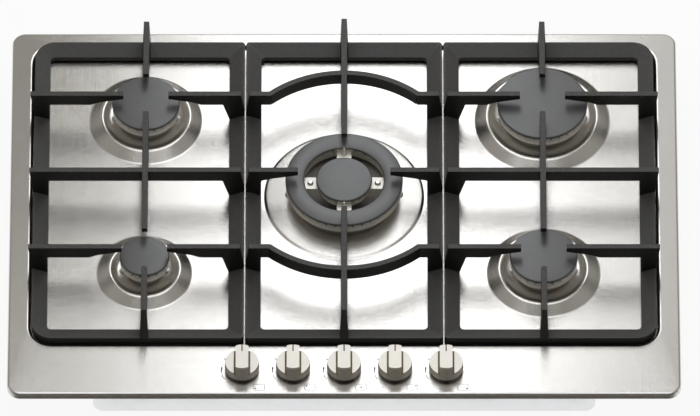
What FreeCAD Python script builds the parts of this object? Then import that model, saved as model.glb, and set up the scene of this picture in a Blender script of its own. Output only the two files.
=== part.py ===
import FreeCAD, Part

import math
import os
import Sketcher

# A built-in gas hob with five burners on a pressed steel top plate, 75 cm class.
# Millimetres, +X right, +Y towards the wall, +Z up; the origin is under the middle
# of the top plate, level with the bottom of the casing.

# ---------------------------------------------------------------- sizes of the plate
plate_width = 740  # top plate, left to right
plate_depth = 510  # top plate, front to back
plate_corner = 15  # outer corner radius of the plate
plate_sheet = 1  # thickness of the pressed steel
casing_depth = 45  # casing below the worktop
lip_gap = 0.5  # lip stands this far off the worktop
lip_height = 6  # upright part of the lip
roll_width = 3  # rolled edge, sideways
roll_height = 2.5  # rolled edge, upwards
ridge_rise = 1.5  # border climbs from the rolled edge to its ridge
recess_drop = 5.5  # recessed floor below the ridge
recess_step = 2.5  # sideways run of the step into the recess
border_side = 23  # border left and right of the recess
border_back = 18  # border behind the recess
border_front = 67  # border that carries the knobs
recess_corner = 26  # corner radius of the recess

# ---------------------------------------------------------------- sizes of the casing
casing_width = 553  # casing, left to right
casing_length = 473  # casing, front to back
casing_sheet = 1  # thickness of the casing's steel
casing_corner = 12  # corner radius of the casing
seal_width = 8  # foam seal under the rim, across
seal_height = 4  # foam seal under the rim, tall
clamp_hole = 2.6  # radius of the holes for the worktop clamps
clamp_span_side = 480  # clamp holes, left to right
clamp_span_depth = 400  # clamp holes, front to back

# ---------------------------------------------------------------- places of the burners
burner_side = 220  # side burners from the middle line
burner_line = 25  # middle burner behind the plate's middle
burner_pitch = 108  # from the middle row to the front or back row

# ---------------------------------------------------------------- sizes of a burner
cap_small = 27.5  # cap radius of the auxiliary burner
cap_middle = 37.5  # cap radius of a semi-rapid burner
cap_large = 50  # cap radius of the rapid burner
cap_triple = 65  # outer radius of the ring cap
cap_triple_hole = 44  # inner radius of the ring cap
cap_triple_core = 31  # radius of the cap in the ring
cap_rim = 3.2  # height of a cap's rim
cap_crown = 1  # cap's middle above its rim
cap_bevel = 1.2  # bevel of a cap's upper edge
flame_top = 28  # flame crown's upper edge above the recess
seat_gap = 0.3  # air under a piece that lifts off
band_height = 9.5  # upright band of the flame crown
crown_wall = 4.5  # wall of the flame crown
crown_inset = 0.5  # flame crown inside the cap's edge
crown_bevel = 1.2  # bevel of a crown's edges
skirt_run = 3  # skirt under the band slopes in this far
deck_rise = 1  # crown's inner floor above its band's foot
core_inset = 2.5  # core's band inside its cap's edge
ring_inset = 2  # ring's inner wall outside its cap's edge
bridge_rise = 4  # bridges above the cup's rim
bridge_drop = 4  # bridges below the crown's upper edge
register_width = 3  # ring under a cap that finds its place, across
register_drop = 2.5  # ring under a cap that finds its place, tall
register_gap = 1  # that ring inside the crown's wall
cap_edge = 0.8  # bevel of a cap's lower edge
port_width = 1.6  # width of a flame port
port_height = 3  # height of a flame port
deck_thickness = 4  # floor of the flame crown
bridge_width = 16  # bridge from the core to the ring
mixing_bore = 7  # bore of the mixing tube
mixing_wall = 2  # wall of the mixing tube
mixing_drop = 3  # mixing tube below the recess floor
cup_inset = 8  # burner cup inside the cap's edge
cup_wall = 3  # wall of the burner cup
cup_rise = 10  # rim of the cup above the recess floor
cup_flange = 10  # flange of the cup, outwards
cup_boss = 15  # radius of the boss that takes the gas pipe
boss_half = 9  # boss above and below the gas pipe
hole_gap = 0.5  # cup in the plate's hole
well_level = 4  # edge of the burner hole above the floor
crest_height = 9  # crest of the pressed cone above the floor
crest_width = 3  # flat crest of the pressed cone
cone_outer = 24  # foot of the cone outside the cap's edge
cone_inner = 10  # crest of the cone outside the cap's edge
cone_fall = 4  # slope from the crest into the well
ring_foot = 88.5  # radius of the step round the middle burner
ring_width = 3  # width of that step
ring_rise = 1.5  # height of that step

# ---------------------------------------------------------------- gas, spark and sensing
jet_radius = 4.5  # head of a gas jet
jet_height = 7  # head of a gas jet, tall
jet_stem = 2.95  # stem of a gas jet
jet_bevel = 1  # bevel of a gas jet's head
fit_gap = 0.05  # radial play of a running fit
pipe_radius = 4  # aluminium feed pipe
pipe_gap = 0.15  # pipe end in its socket
pipe_bend = 20  # bend of a feed pipe
pipe_end_gap = 0.5  # pipe end off the bottom of its socket
pipe_level = 30  # feed pipes above the casing's bottom
rail_radius = 7  # gas rail, outside
rail_wall = 1.5  # wall of the gas rail
rail_level = 15.5  # gas rail above the casing's bottom
rail_bend = 30  # bend of the gas rail
rail_plug = 2  # end plug of the gas rail
rail_space = 6  # from the taps' backs to the gas rail
stub_radius = 3.5  # stub from a tap into the gas rail
inlet_side = 250  # gas inlet from the middle line
inlet_radius = 10.5  # half-inch male thread, outside
inlet_length = 14  # length of the inlet outside the casing
inlet_relief = 0.5  # length of the inlet before its thread begins
inlet_neck = 9.4  # radius of the inlet where it passes the casing
inlet_bore = 6  # bore of the inlet
union_wall = 5  # wall of the inlet's union
union_length = 22  # union behind the casing's wall
union_depth = 14  # gas rail in the union
union_flange = 3  # union's flange, outwards
flange_length = 5  # union's flange, front to back
spark_radius = 2.2  # ceramic of a spark plug
spark_hole = 2.35  # hole for a spark plug or a flame sensor
spark_inset = 2.7  # spark plug inside the cap's edge
spark_inset_triple = 3  # middle spark plug inside the ring cap's hole
sensor_reach_triple = 4.2  # middle sensor outside the core cap
spark_lift_triple = 4  # middle spark plug and sensor stand higher
notch_gap = 0.7  # air round a spark plug in the crown
spark_top = 21  # top of the ceramic above the floor
tip_radius = 0.8  # metal tip of a spark plug
tip_length = 5  # metal tip of a spark plug
ceramic_bevel = 1  # bevel of the ceramic's top
screw_shank = 1.9  # cup screw, shank radius
screw_head = 3.4  # cup screw, head radius
head_rim = 1  # upright edge of a screw's head
head_height = 2.3  # height of a screw's head
head_bevel = 1.2  # bevel of a screw's head

# ---------------------------------------------------------------- taps and knobs
knob_pitch = 56  # from one knob to the next
knob_line = 221  # knobs in front of the plate's middle
knob_radius = 19  # radius of a knob's disc
knob_draft = 0.6  # knob narrows towards its top
disc_bevel = 0.8  # bevel of the disc's upper edge
knob_gap = 4  # air under a knob
knob_disc = 9  # height of a knob's disc
grip_height = 10  # grip above the disc
grip_width = 14  # width of the grip
grip_bevel = 1.5  # bevel round the top of the grip
knob_wall = 2.2  # wall of the knob
hub_radius = 6  # hub inside the knob
hub_recess = 2.5  # hub above the knob's lower edge
spindle_radius = 3  # radius of a tap's spindle
spindle_reach = 15  # spindle up into the knob
spindle_bevel = 0.5  # bevel of a spindle's end
spindle_flat = 1.8  # flat of a spindle from its axis
flat_length = 9  # flat of a spindle, long
spindle_entry = 8.8  # spindle down into the tap's cone
spindle_room = 1  # air under a pushed spindle
push_travel = 3  # knob pushes in this far
mark_width = 1.3  # index line on the grip
mark_length = 9  # index line on the grip, long
mark_depth = 0.5  # index line on the grip, deep
tap_width = 26  # tap body, left to right
tap_depth = 28  # tap body, front to back
tap_bottom = 6  # tap body above the casing's bottom
tap_height = 30  # tap body, tall
block_corner = 3  # upright corners of a tap and of the spark unit
tap_wall = 2  # metal between the outlet and the cone
plug_large = 8  # cone of a tap, upper radius
plug_small = 6.5  # cone of a tap, lower radius
plug_height = 22  # cone of a tap, tall
plug_floor = 4  # metal under the cone of a tap
plug_rim = 2  # cone's upper rim above its seat
panel_hole = 5.5  # hole in the plate for a spindle
boot_radius = 7  # rubber boot under a knob
boot_height = 1.5  # rubber boot under a knob, tall
boot_slope = 1.5  # boot narrows towards its top

# ---------------------------------------------------------------- pan supports
support_front = 185  # supports' front edge, before the middle
support_back = 234  # supports' back edge, behind the middle
support_gap = 1.5  # air between two supports
middle_support = 218  # middle support, left to right
side_support = 233.5  # side support, left to right
frame_width = 17  # rail of a support's frame, across
frame_outer = 14  # outer edge of the frame above the floor
frame_inner = 8  # inner edge of the frame above the floor
frame_land = 2  # flat strip along the frame's outer edge
foot_height = 2  # frame's underside above the floor
foot_radius = 4  # rubber foot
foot_corner = 12  # foot from its frame's corner, front to back
outer_corner = 23  # support's corner beside the plate's corner
inner_corner = 4  # support's corner beside its neighbour
window_corner = 5  # corner of the frame's window
bar_top = 48  # top of the bars above the floor
bar_width = 6  # width of a bar at its top
bar_foot = 10  # width of a bar at its foot
bar_depth = 15.5  # depth of a bar
tip_depth = 6  # depth of a finger at its tip
knee_depth = 11.5  # depth of a finger at its knee
knee_reach = 27  # from a finger's tip to its knee
taper_reach = 36  # from a finger's tip to its full depth
leg_width = 17  # leg at the bar's underside
leg_width_inner = 24  # leg beside a neighbour, at the bar's underside
leg_lean = -4  # outer leg leans out at its top
leg_lean_back = -2  # back leg leans out at its top
leg_lean_inner = 4  # leg beside a neighbour leans in
leg_lean_front = 13  # front leg leans in
tip_side = 25  # side finger's tip from a burner's middle
tip_length_way = 28  # front or back finger's tip from it
tip_triple = 51  # finger's tip from the middle burner's middle
arch_radius = 127  # curved bar's radius
arch_reach = 82  # curved bar starts this far from the middle line
bow_overhang = 6  # middle back finger overhangs its frame

# ---------------------------------------------------------------- spark unit and gland
unit_width = 70  # spark unit, left to right
unit_depth = 36  # spark unit, front to back
unit_height = 25  # spark unit, tall
unit_side = 215  # spark unit and mains gland from the middle line
unit_line = 195  # spark unit behind the middle
gland_radius = 6  # mains gland in the casing's wall
gland_flange = 8.5  # mains gland, flange
gland_rim = 2  # mains gland's flange, thick
gland_bevel = 1  # bevel of the gland's flange
gland_bore = 3.5  # bore of the mains gland
gland_length = 10  # mains gland, long
gland_level = 14  # mains gland above the casing's bottom
bite = 1  # one form runs this far into the next, or a cut past its face


class Size:
    """A number together with the spreadsheet formula it comes from.

    Sums and products of sizes stay formulas, so every feature built from them
    follows the sheet.
    """

    def __init__(self, value, formula):
        self.value = float(value)
        self.formula = formula

    def __add__(self, other):
        other = as_size(other)
        return Size(self.value + other.value, f"({self.formula} + {other.formula})")

    def __radd__(self, other):
        return as_size(other) + self

    def __sub__(self, other):
        other = as_size(other)
        return Size(self.value - other.value, f"({self.formula} - {other.formula})")

    def __rsub__(self, other):
        return as_size(other) - self

    def __mul__(self, other):
        other = as_size(other)
        return Size(self.value * other.value, f"({self.formula} * {other.formula})")

    def __rmul__(self, other):
        return as_size(other) * self

    def __truediv__(self, other):
        other = as_size(other)
        return Size(self.value / other.value, f"({self.formula} / {other.formula})")

    def __neg__(self):
        return Size(-self.value, f"(0 - {self.formula})")


def as_size(number):
    return number if isinstance(number, Size) else Size(number, f"({number:g})")


# Every number above is a driving dimension. Each gets a row of the sheet, and from
# here on its name stands for that cell.
document = FreeCAD.newDocument("gas_hob")
sheet = document.addObject("Spreadsheet::Sheet", "Sizes")
driving = {name: value for name, value in globals().items() if isinstance(value, (int, float))}
for row, (alias, value) in enumerate(driving.items(), start=1):
    sheet.set(f"A{row}", alias.replace("_", " "))
    sheet.set(f"B{row}", f"{value:g}")
    sheet.setAlias(f"B{row}", alias)
    globals()[alias] = Size(value, f"Sizes.{alias}")
document.recompute()

# ---------------------------------------------------------------- counts and angles
knob_count = 5
bridge_count = 4
ring_slots = 24
core_slots = 20
sensor_turn = 50

# ---------------------------------------------------------------- levels of the plate
worktop_level = casing_depth
lip_level = casing_depth + lip_gap
roll_level = lip_level + lip_height
edge_level = roll_level + roll_height
ridge_level = edge_level + ridge_rise
floor_level = ridge_level - recess_drop
half_width = plate_width / 2
half_depth = plate_depth / 2


# ---------------------------------------------------------------- drawing helpers
ALONG_X = FreeCAD.Rotation(0, 0, 90)
ALONG_Y = FreeCAD.Rotation(90, 0, 90)
FLAT = FreeCAD.Rotation(0, 0, 0)


def new_body(label):
    body = document.addObject("PartDesign::Body", label)
    body.Label = label
    return body


def move(item, x=0, y=0, z=0, rotation=FLAT):
    """Places an object, with each coordinate tied to its formula."""
    place = [as_size(x), as_size(y), as_size(z)]
    item.Placement = FreeCAD.Placement(FreeCAD.Vector(*[c.value for c in place]), rotation)
    for letter, coordinate in zip("xyz", place):
        item.setExpression(f"Placement.Base.{letter}", coordinate.formula)


def body_sketch(body, role, offset=0):
    """A sketch on one of a body's own planes, moved along that plane's normal."""
    sketch = body.newObject("Sketcher::SketchObject", f"{body.Name}_sketch")
    plane = [f for f in body.Origin.OriginFeatures if f.Role == role][0]
    sketch.AttachmentSupport = (plane, [""])
    sketch.MapMode = "FlatFace"
    offset = as_size(offset)
    sketch.AttachmentOffset = FreeCAD.Placement(FreeCAD.Vector(0, 0, offset.value), FLAT)
    sketch.setExpression("AttachmentOffset.Base.z", offset.formula)
    return sketch


def free_sketch(name, x=0, y=0, z=0, rotation=FLAT):
    sketch = document.addObject("Sketcher::SketchObject", name)
    move(sketch, x, y, z, rotation)
    return sketch


def tie(sketch, kind, *where_and_size):
    """Adds one dimension to a sketch and ties it to its formula."""
    *where, amount = where_and_size
    amount = as_size(amount)
    index = sketch.addConstraint(Sketcher.Constraint(kind, *where, amount.value))
    sketch.setExpression(f"Constraints[{index}]", amount.formula)


def add_line(sketch, start, end):
    a = FreeCAD.Vector(as_size(start[0]).value, as_size(start[1]).value, 0)
    b = FreeCAD.Vector(as_size(end[0]).value, as_size(end[1]).value, 0)
    return sketch.addGeometry(Part.LineSegment(a, b), False)


def outline(sketch, corners):
    """A closed outline of straight edges with each corner dimensioned."""
    lines = [add_line(sketch, corner, corners[(index + 1) % len(corners)])
             for index, corner in enumerate(corners)]
    for index, line in enumerate(lines):
        following = lines[(index + 1) % len(lines)]
        sketch.addConstraint(Sketcher.Constraint("Coincident", line, 2, following, 1))
    for line, corner in zip(lines, corners):
        tie(sketch, "DistanceX", -1, 1, line, 1, corner[0])
        tie(sketch, "DistanceY", -1, 1, line, 1, corner[1])
    return sketch


def ring(sketch, x, y, radius):
    """A full circle with its centre and radius dimensioned."""
    x, y, radius = as_size(x), as_size(y), as_size(radius)
    centre = FreeCAD.Vector(x.value, y.value, 0)
    circle = sketch.addGeometry(Part.Circle(centre, FreeCAD.Vector(0, 0, 1), radius.value), False)
    tie(sketch, "DistanceX", -1, 1, circle, 3, x)
    tie(sketch, "DistanceY", -1, 1, circle, 3, y)
    tie(sketch, "Radius", circle, radius)
    return sketch


def rounded(sketch, left, right, front, back, radii):
    """A rectangle with round corners: front left, front right, back right, back left."""
    x0, x1, y0, y1 = [as_size(side) for side in (left, right, front, back)]
    corners = [(x0, y0, 1, 1), (x1, y0, -1, 1), (x1, y1, -1, -1), (x0, y1, 1, -1)]
    quarter = math.pi / 2
    arcs = []
    for turn, ((x, y, to_x, to_y), radius) in enumerate(zip(corners, radii)):
        centre = FreeCAD.Vector(x.value + to_x * radius.value, y.value + to_y * radius.value, 0)
        circle = Part.Circle(centre, FreeCAD.Vector(0, 0, 1), radius.value)
        start = math.pi + turn * quarter
        arcs.append(sketch.addGeometry(Part.ArcOfCircle(circle, start, start + quarter), False))
    for turn, arc in enumerate(arcs):
        following = arcs[(turn + 1) % 4]
        run = Part.LineSegment(sketch.getPoint(arc, 2), sketch.getPoint(following, 1))
        line = sketch.addGeometry(run, False)
        sketch.addConstraint(Sketcher.Constraint("Tangent", arc, 2, line, 1))
        sketch.addConstraint(Sketcher.Constraint("Tangent", line, 2, following, 1))
        level = turn % 2 == 0
        sketch.addConstraint(Sketcher.Constraint("Horizontal" if level else "Vertical", line))
        tie(sketch, "DistanceY" if level else "DistanceX", -1, 1, line, 1, (y0, x1, y1, x0)[turn])
        tie(sketch, "Radius", arc, radii[turn])
    return sketch


def pad(body, sketch, length, midplane=False):
    feature = body.newObject("PartDesign::Pad", f"{body.Name}_pad")
    feature.Profile = sketch
    feature.Midplane = midplane
    feature.setExpression("Length", as_size(length).formula)
    return feature


def pocket(body, sketch, length, backwards=False):
    feature = body.newObject("PartDesign::Pocket", f"{body.Name}_pocket")
    feature.Profile = sketch
    feature.Reversed = backwards
    feature.setExpression("Length", as_size(length).formula)
    return feature


def revolve(body, corners, role="XZ_Plane", axis="V_Axis"):
    """A turned piece: its half section spun once round the axis."""
    sketch = outline(body_sketch(body, role), corners)
    feature = body.newObject("PartDesign::Revolution", f"{body.Name}_turned")
    feature.Profile = sketch
    feature.ReferenceAxis = (sketch, [axis])
    feature.Angle = 360
    return feature


def repeat_round(body, feature, count):
    """Copies a cut evenly round the upright axis."""
    pattern = body.newObject("PartDesign::PolarPattern", f"{body.Name}_pattern")
    axis = [f for f in body.Origin.OriginFeatures if f.Role == "Z_Axis"][0]
    pattern.Originals = [feature]
    pattern.Axis = (axis, [""])
    pattern.Angle = 360
    pattern.Occurrences = count
    body.Tip = pattern
    return pattern


def rod(name, radius, height, x=0, y=0, z=0, rotation=FLAT):
    cylinder = document.addObject("Part::Cylinder", name)
    cylinder.setExpression("Radius", as_size(radius).formula)
    cylinder.setExpression("Height", as_size(height).formula)
    move(cylinder, x, y, z, rotation)
    return cylinder


def join(label, pieces):
    fuse = document.addObject("Part::MultiFuse", label)
    fuse.Label = label
    fuse.Shapes = pieces
    return fuse


def cut(label, base, tools):
    """Takes one tool, or several joined tools, away from a piece."""
    tool = tools[0] if len(tools) == 1 else join(f"{label}_tools", tools)
    result = document.addObject("Part::Cut", label)
    result.Label = label
    result.Base = base
    result.Tool = tool
    return result


def group(label, pieces):
    """Like pieces that stay separate solids in one node."""
    compound = document.addObject("Part::Compound", label)
    compound.Label = label
    compound.Links = pieces
    return compound


def turned_about(angle):
    return FreeCAD.Rotation(FreeCAD.Vector(0, 0, 1), angle)


nodes = []


# ---------------------------------------------------------------- burners' own sizes
class Burner:
    """A burner's name, its place, its cap and the way its gas pipe comes in."""

    def __init__(self, name, x, y, cap, ports, pipe_angle, spark_angle):
        self.name = name
        self.x = as_size(x)
        self.y = as_size(y)
        self.cap = cap
        self.ports = ports
        self.pipe_angle = pipe_angle
        self.spark_angle = spark_angle
        self.cup = cap - cup_inset
        self.hole = cap - cup_inset + hole_gap
        self.flange = cap - cup_inset + cup_flange
        self.band = cap - crown_inset


BACK_LINE = burner_line + burner_pitch
FRONT_LINE = burner_line - burner_pitch
front_left = Burner("front_left", -burner_side, FRONT_LINE, cap_small, 18, -45, 90)
back_left = Burner("back_left", -burner_side, BACK_LINE, cap_middle, 24, -63, 90)
middle = Burner("middle", 0, burner_line, cap_triple, 40, -90, 0)
back_right = Burner("back_right", burner_side, BACK_LINE, cap_large, 32, -117, 90)
front_right = Burner("front_right", burner_side, FRONT_LINE, cap_middle, 24, -135, 90)
# The taps stand in this order from left to right.
burners = [front_left, back_left, middle, back_right, front_right]
simple_burners = [b for b in burners if b is not middle]


# ---------------------------------------------------------------- top plate
def plate_section(name, inset, z, grow=0):
    """The plate's outer edge, drawn in by an amount, at one height."""
    edge = as_size(inset)
    radius = plate_corner - edge
    sketch = free_sketch(name, z=z)
    return rounded(sketch, edge - half_width, half_width - edge,
                   edge - half_depth, half_depth - edge, [radius] * 4)


def recess_section(name, inset, z):
    """The recess's edge, drawn in by an amount, at one height."""
    inset = as_size(inset)
    radius = recess_corner - inset
    sketch = free_sketch(name, z=z)
    return rounded(sketch, border_side + inset - half_width, half_width - border_side - inset,
                   border_front + inset - half_depth, half_depth - border_back - inset,
                   [radius] * 4)


def loft(name, sections):
    feature = document.addObject("Part::Loft", name)
    feature.Sections = sections
    feature.Solid = True
    feature.Ruled = True
    return feature


def pressed_form(name, skin):
    """The space under the plate's outer or inner skin, without the recess."""
    hill = loft(f"{name}_hill", [
        plate_section(f"{name}_lip", skin, lip_level - skin),
        plate_section(f"{name}_roll", skin, roll_level),
        plate_section(f"{name}_edge", skin + roll_width, edge_level - skin),
        recess_section(f"{name}_ridge", -skin, ridge_level - skin)])
    dish = loft(f"{name}_dish", [
        recess_section(f"{name}_floor", recess_step - skin, floor_level - skin),
        recess_section(f"{name}_brim", -skin, ridge_level - skin)])
    return cut(name, hill, [dish])


def cone_profile(burner):
    """Upper skin of the pressed cone round a burner, from its foot to its hole."""
    crest_out = burner.cap + cone_inner + crest_width
    crest_in = burner.cap + cone_inner
    return [(burner.cap + cone_outer, as_size(0)), (crest_out, crest_height),
            (crest_in, crest_height), (crest_in - cone_fall, well_level),
            (burner.hole, well_level)]


def ring_profile(burner):
    """Upper skin of the small step round the middle burner."""
    return [(ring_foot, as_size(0)), (ring_foot - ring_width, ring_rise),
            (burner.flange + cone_fall * 2, ring_rise), (burner.flange + cone_fall, well_level),
            (burner.hole, well_level)]


def pressed_ring(burner):
    """The pressing round one burner, as a turned sheet."""
    upper = ring_profile(burner) if burner is middle else cone_profile(burner)
    lower = [(r, z - plate_sheet) for r, z in reversed(upper)]
    body = new_body(f"pressing_{burner.name}")
    revolve(body, upper + lower)
    move(body, burner.x, burner.y, floor_level)
    return body


def upright_holes(name, burner, radius, height, drop):
    """Cutters for the spark plug, flame sensor and cup screws of one burner."""
    holes = []
    for index, (reach, angle) in enumerate(spark_places(burner)):
        holes.append(polar_rod(f"{name}_spark{index}", burner, reach, angle, radius, height, drop))
    for index, (reach, angle) in enumerate(screw_places(burner)):
        shank = screw_shank + 2 * fit_gap
        holes.append(polar_rod(f"{name}_screw{index}", burner, reach, angle, shank, height, drop))
    return holes


def polar_rod(name, burner, reach, angle, radius, height, drop):
    """A rod beside a burner, placed by its distance and direction."""
    across = math.cos(math.radians(angle))
    along = math.sin(math.radians(angle))
    return rod(name, radius, height, burner.x + reach * across, burner.y + reach * along,
               floor_level + drop)


def spark_places(burner):
    """Spark plug first, then the flame sensor."""
    if burner is middle:
        return [(cap_triple_hole - spark_inset_triple, 90),
                (cap_triple_core + sensor_reach_triple, -90)]
    reach = burner.cap - spark_inset
    return [(reach, burner.spark_angle), (reach, burner.spark_angle + sensor_turn)]


def screw_places(burner):
    reach = burner.cup + cup_flange / 2
    return [(reach, 0), (reach, 180)]


outer_form = pressed_form("outer_form", as_size(0))
inner_form = pressed_form("inner_form", plate_sheet)
blank = cut("plate_blank", outer_form, [inner_form])

openings = []
for burner in burners:
    foot = ring_foot if burner is middle else burner.cap + cone_outer
    openings.append(rod(f"opening_{burner.name}", foot, plate_sheet * 4,
                        burner.x, burner.y, floor_level - plate_sheet * 2))
knob_places = [(index - (knob_count - 1) / 2) * knob_pitch for index in range(knob_count)]
for index, x in enumerate(knob_places):
    openings.append(rod(f"panel_hole_{index + 1}", panel_hole, recess_drop * 3,
                        x, -knob_line, floor_level - recess_drop))
pierced = cut("plate_pierced", blank, openings)
pressings = [pressed_ring(burner) for burner in burners]
plate_whole = join("plate_whole", [pierced] + pressings)
small_holes = []
for burner in burners:
    small_holes += upright_holes(f"plate_{burner.name}", burner, spark_hole,
                                 crest_height * 2, -crest_height)
top_plate = cut("top_plate", plate_whole, small_holes)
nodes.append(top_plate)


# ---------------------------------------------------------------- casing and seal
def box_sketch(body, width, depth, radius, level):
    return rounded(body_sketch(body, "XY_Plane", level), -(width / 2), width / 2,
                   -(depth / 2), depth / 2, [radius] * 4)


inlet_hole = inlet_neck + pipe_gap * 2
casing = new_body("bottom_casing")
casing_top = floor_level - plate_sheet
pad(casing, box_sketch(casing, casing_width, casing_length, casing_corner, 0), casing_top)
pocket(casing, box_sketch(casing, casing_width - 2 * casing_sheet,
                          casing_length - 2 * casing_sheet, casing_corner - casing_sheet,
                          casing_sheet), casing_top, backwards=True)
clamp_sketch = body_sketch(casing, "XY_Plane")
for to_x in (-1, 1):
    for to_y in (-1, 1):
        ring(clamp_sketch, clamp_span_side / 2 * to_x, clamp_span_depth / 2 * to_y, clamp_hole)
pocket(casing, clamp_sketch, casing_sheet * 2, backwards=True)
back_wall = casing_length / 2
wall_sketch = body_sketch(casing, "XZ_Plane", -(back_wall + casing_sheet))
ring(wall_sketch, inlet_side, rail_level, inlet_hole)
ring(wall_sketch, -unit_side, gland_level, gland_radius + fit_gap)
pocket(casing, wall_sketch, casing_sheet * 3, backwards=True)
nodes.append(casing)

seal = new_body("rim_seal")
seal_in = plate_sheet + seal_width
seal_sketch = body_sketch(seal, "XY_Plane", worktop_level + lip_gap)
for inset in (plate_sheet, seal_in):
    rounded(seal_sketch, inset - half_width, half_width - inset, inset - half_depth,
            half_depth - inset, [plate_corner - plate_sheet if inset is plate_sheet
                                 else plate_corner - plate_sheet * 2] * 4)
pad(seal, seal_sketch, seal_height)
nodes.append(seal)


# ---------------------------------------------------------------- burner cups
def make_cup(burner):
    """Cast cup that hangs in the plate's hole and takes the gas pipe from one side."""
    socket = pipe_level - floor_level
    boss_low = socket - boss_half
    boss_high = socket + boss_half
    body = new_body(f"cup_body_{burner.name}")
    under = well_level - plate_sheet
    revolve(body, [
        (as_size(0), boss_low), (cup_boss, boss_low), (cup_boss, boss_high),
        (burner.cup, under - cup_wall), (burner.flange, under - cup_wall),
        (burner.flange, under), (burner.cup, under), (burner.cup, cup_rise),
        (burner.cup - cup_wall, cup_rise), (burner.cup - cup_wall, under),
        (cup_boss - cup_wall, boss_high + cup_wall), (as_size(0), boss_high + cup_wall)])
    side_hole = body_sketch(body, "YZ_Plane", jet_stem + cup_wall)
    ring(side_hole, 0, socket, pipe_radius + pipe_gap)
    pocket(body, side_hole, cup_boss * 2, backwards=True)
    passage = body_sketch(body, "YZ_Plane", -jet_stem)
    ring(passage, 0, socket, jet_stem)
    pocket(body, passage, jet_stem * 3, backwards=True)
    jet_hole = body_sketch(body, "XY_Plane", socket)
    ring(jet_hole, 0, 0, jet_stem + fit_gap)
    pocket(body, jet_hole, cup_boss * 2, backwards=True)
    move(body, burner.x, burner.y, floor_level, turned_about(burner.pipe_angle))
    holes = upright_holes(f"cup_{burner.name}", burner, spark_hole, cup_boss * 2, -cup_boss)
    return cut(f"burner_cup_{burner.name}", body, holes)


def make_jet(burner):
    """Brass jet that stands in the boss and blows up the mixing tube."""
    seat = pipe_level - floor_level + boss_half + cup_wall
    body = new_body(f"jet_{burner.name}")
    revolve(body, [
        (as_size(0), seat - cup_wall * 2), (jet_stem, seat - cup_wall * 2), (jet_stem, seat),
        (jet_radius, seat), (jet_radius, seat + jet_height - jet_bevel),
        (jet_radius - jet_bevel, seat + jet_height), (as_size(0), seat + jet_height)])
    move(body, burner.x, burner.y, floor_level)
    return body


for burner in burners:
    nodes.append(make_cup(burner))
nodes.append(group("gas_jets", [make_jet(burner) for burner in burners]))


# ---------------------------------------------------------------- flame crowns and caps
def cut_ports(body, reach, bottom, count):
    """Flame ports: radial notches in the crown's upper edge."""
    sketch = body_sketch(body, "YZ_Plane", reach - crown_wall - bite)
    outline(sketch, [(-(port_width / 2), bottom), (port_width / 2, bottom),
                     (port_width / 2, flame_top + bite), (-(port_width / 2), flame_top + bite)])
    notch = pocket(body, sketch, crown_wall + bite * 2, backwards=True)
    return repeat_round(body, notch, count)


def make_crown(burner):
    """Aluminium flame crown with its mixing tube; it lifts out of the cup."""
    body = new_body(f"flame_crown_{burner.name}")
    seat = cup_rise + seat_gap
    band_low = flame_top - band_height
    deck = band_low + deck_rise
    tube = mixing_bore + mixing_wall
    revolve(body, [
        (mixing_bore, -mixing_drop), (tube, -mixing_drop), (tube, deck - deck_thickness),
        (burner.cup - cup_wall, deck - deck_thickness), (burner.cup - cup_wall, seat),
        (burner.cup, seat), (burner.band - skirt_run, band_low - skirt_run),
        (burner.band, band_low), (burner.band, flame_top - crown_bevel * 2),
        (burner.band - crown_bevel, flame_top),
        (burner.band - crown_wall, flame_top), (burner.band - crown_wall, deck),
        (mixing_bore, deck)])
    cut_ports(body, burner.band, flame_top - port_height, burner.ports)
    notches = body_sketch(body, "XY_Plane", 0)
    for reach, angle in spark_places(burner):
        across = math.cos(math.radians(angle))
        along = math.sin(math.radians(angle))
        ring(notches, reach * across, reach * along, spark_radius + notch_gap)
    pocket(body, notches, flame_top * 2, backwards=True)
    move(body, burner.x, burner.y, floor_level)
    return body


def make_cap(label, burner, radius, register):
    """Round enamelled cap with a locating ring under it."""
    body = new_body(label)
    low = flame_top + seat_gap
    top = low + cap_rim
    revolve(body, [
        (as_size(0), low), (register - register_width, low),
        (register - register_width, low - register_drop), (register, low - register_drop),
        (register, low), (radius - cap_edge, low), (radius, low + cap_edge),
        (radius, top - cap_bevel), (radius - cap_bevel, top), (as_size(0), top + cap_crown)])
    move(body, burner.x, burner.y, floor_level)
    return body


for burner in simple_burners:
    nodes.append(make_crown(burner))
    nodes.append(make_cap(f"cap_{burner.name}", burner, burner.cap,
                          burner.band - crown_wall - register_gap))


# ---------------------------------------------------------------- middle burner
# One casting holds an outer ring, a core and four bridges between them.
core_band = cap_triple_core - core_inset
outer_inside = cap_triple_hole + ring_inset
bridge_low = cup_rise + bridge_rise
bridge_top = flame_top - bridge_drop

crown = new_body("flame_crown_middle")
band_low = flame_top - band_height
deck = band_low + deck_rise
revolve(crown, [
    (outer_inside, deck - deck_thickness), (middle.cup - cup_wall, deck - deck_thickness),
    (middle.cup - cup_wall, cup_rise + seat_gap), (middle.cup, cup_rise + seat_gap),
    (middle.band - skirt_run, band_low - skirt_run), (middle.band, band_low),
    (middle.band, flame_top - crown_bevel * 2), (middle.band - crown_bevel, flame_top),
    (middle.band - crown_wall, flame_top), (middle.band - crown_wall, deck),
    (outer_inside + crown_wall, deck), (outer_inside + crown_wall, flame_top),
    (outer_inside, flame_top)])
bridge = body_sketch(crown, "XY_Plane", bridge_low)
bridge_in, bridge_out = core_band - bite * 2, outer_inside + bite
outline(bridge, [(-(bridge_width / 2), bridge_in), (bridge_width / 2, bridge_in),
                 (bridge_width / 2, bridge_out), (-(bridge_width / 2), bridge_out)])
bridge_pad = pad(crown, bridge, bridge_top - bridge_low)
repeat_round(crown, bridge_pad, bridge_count)
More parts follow.
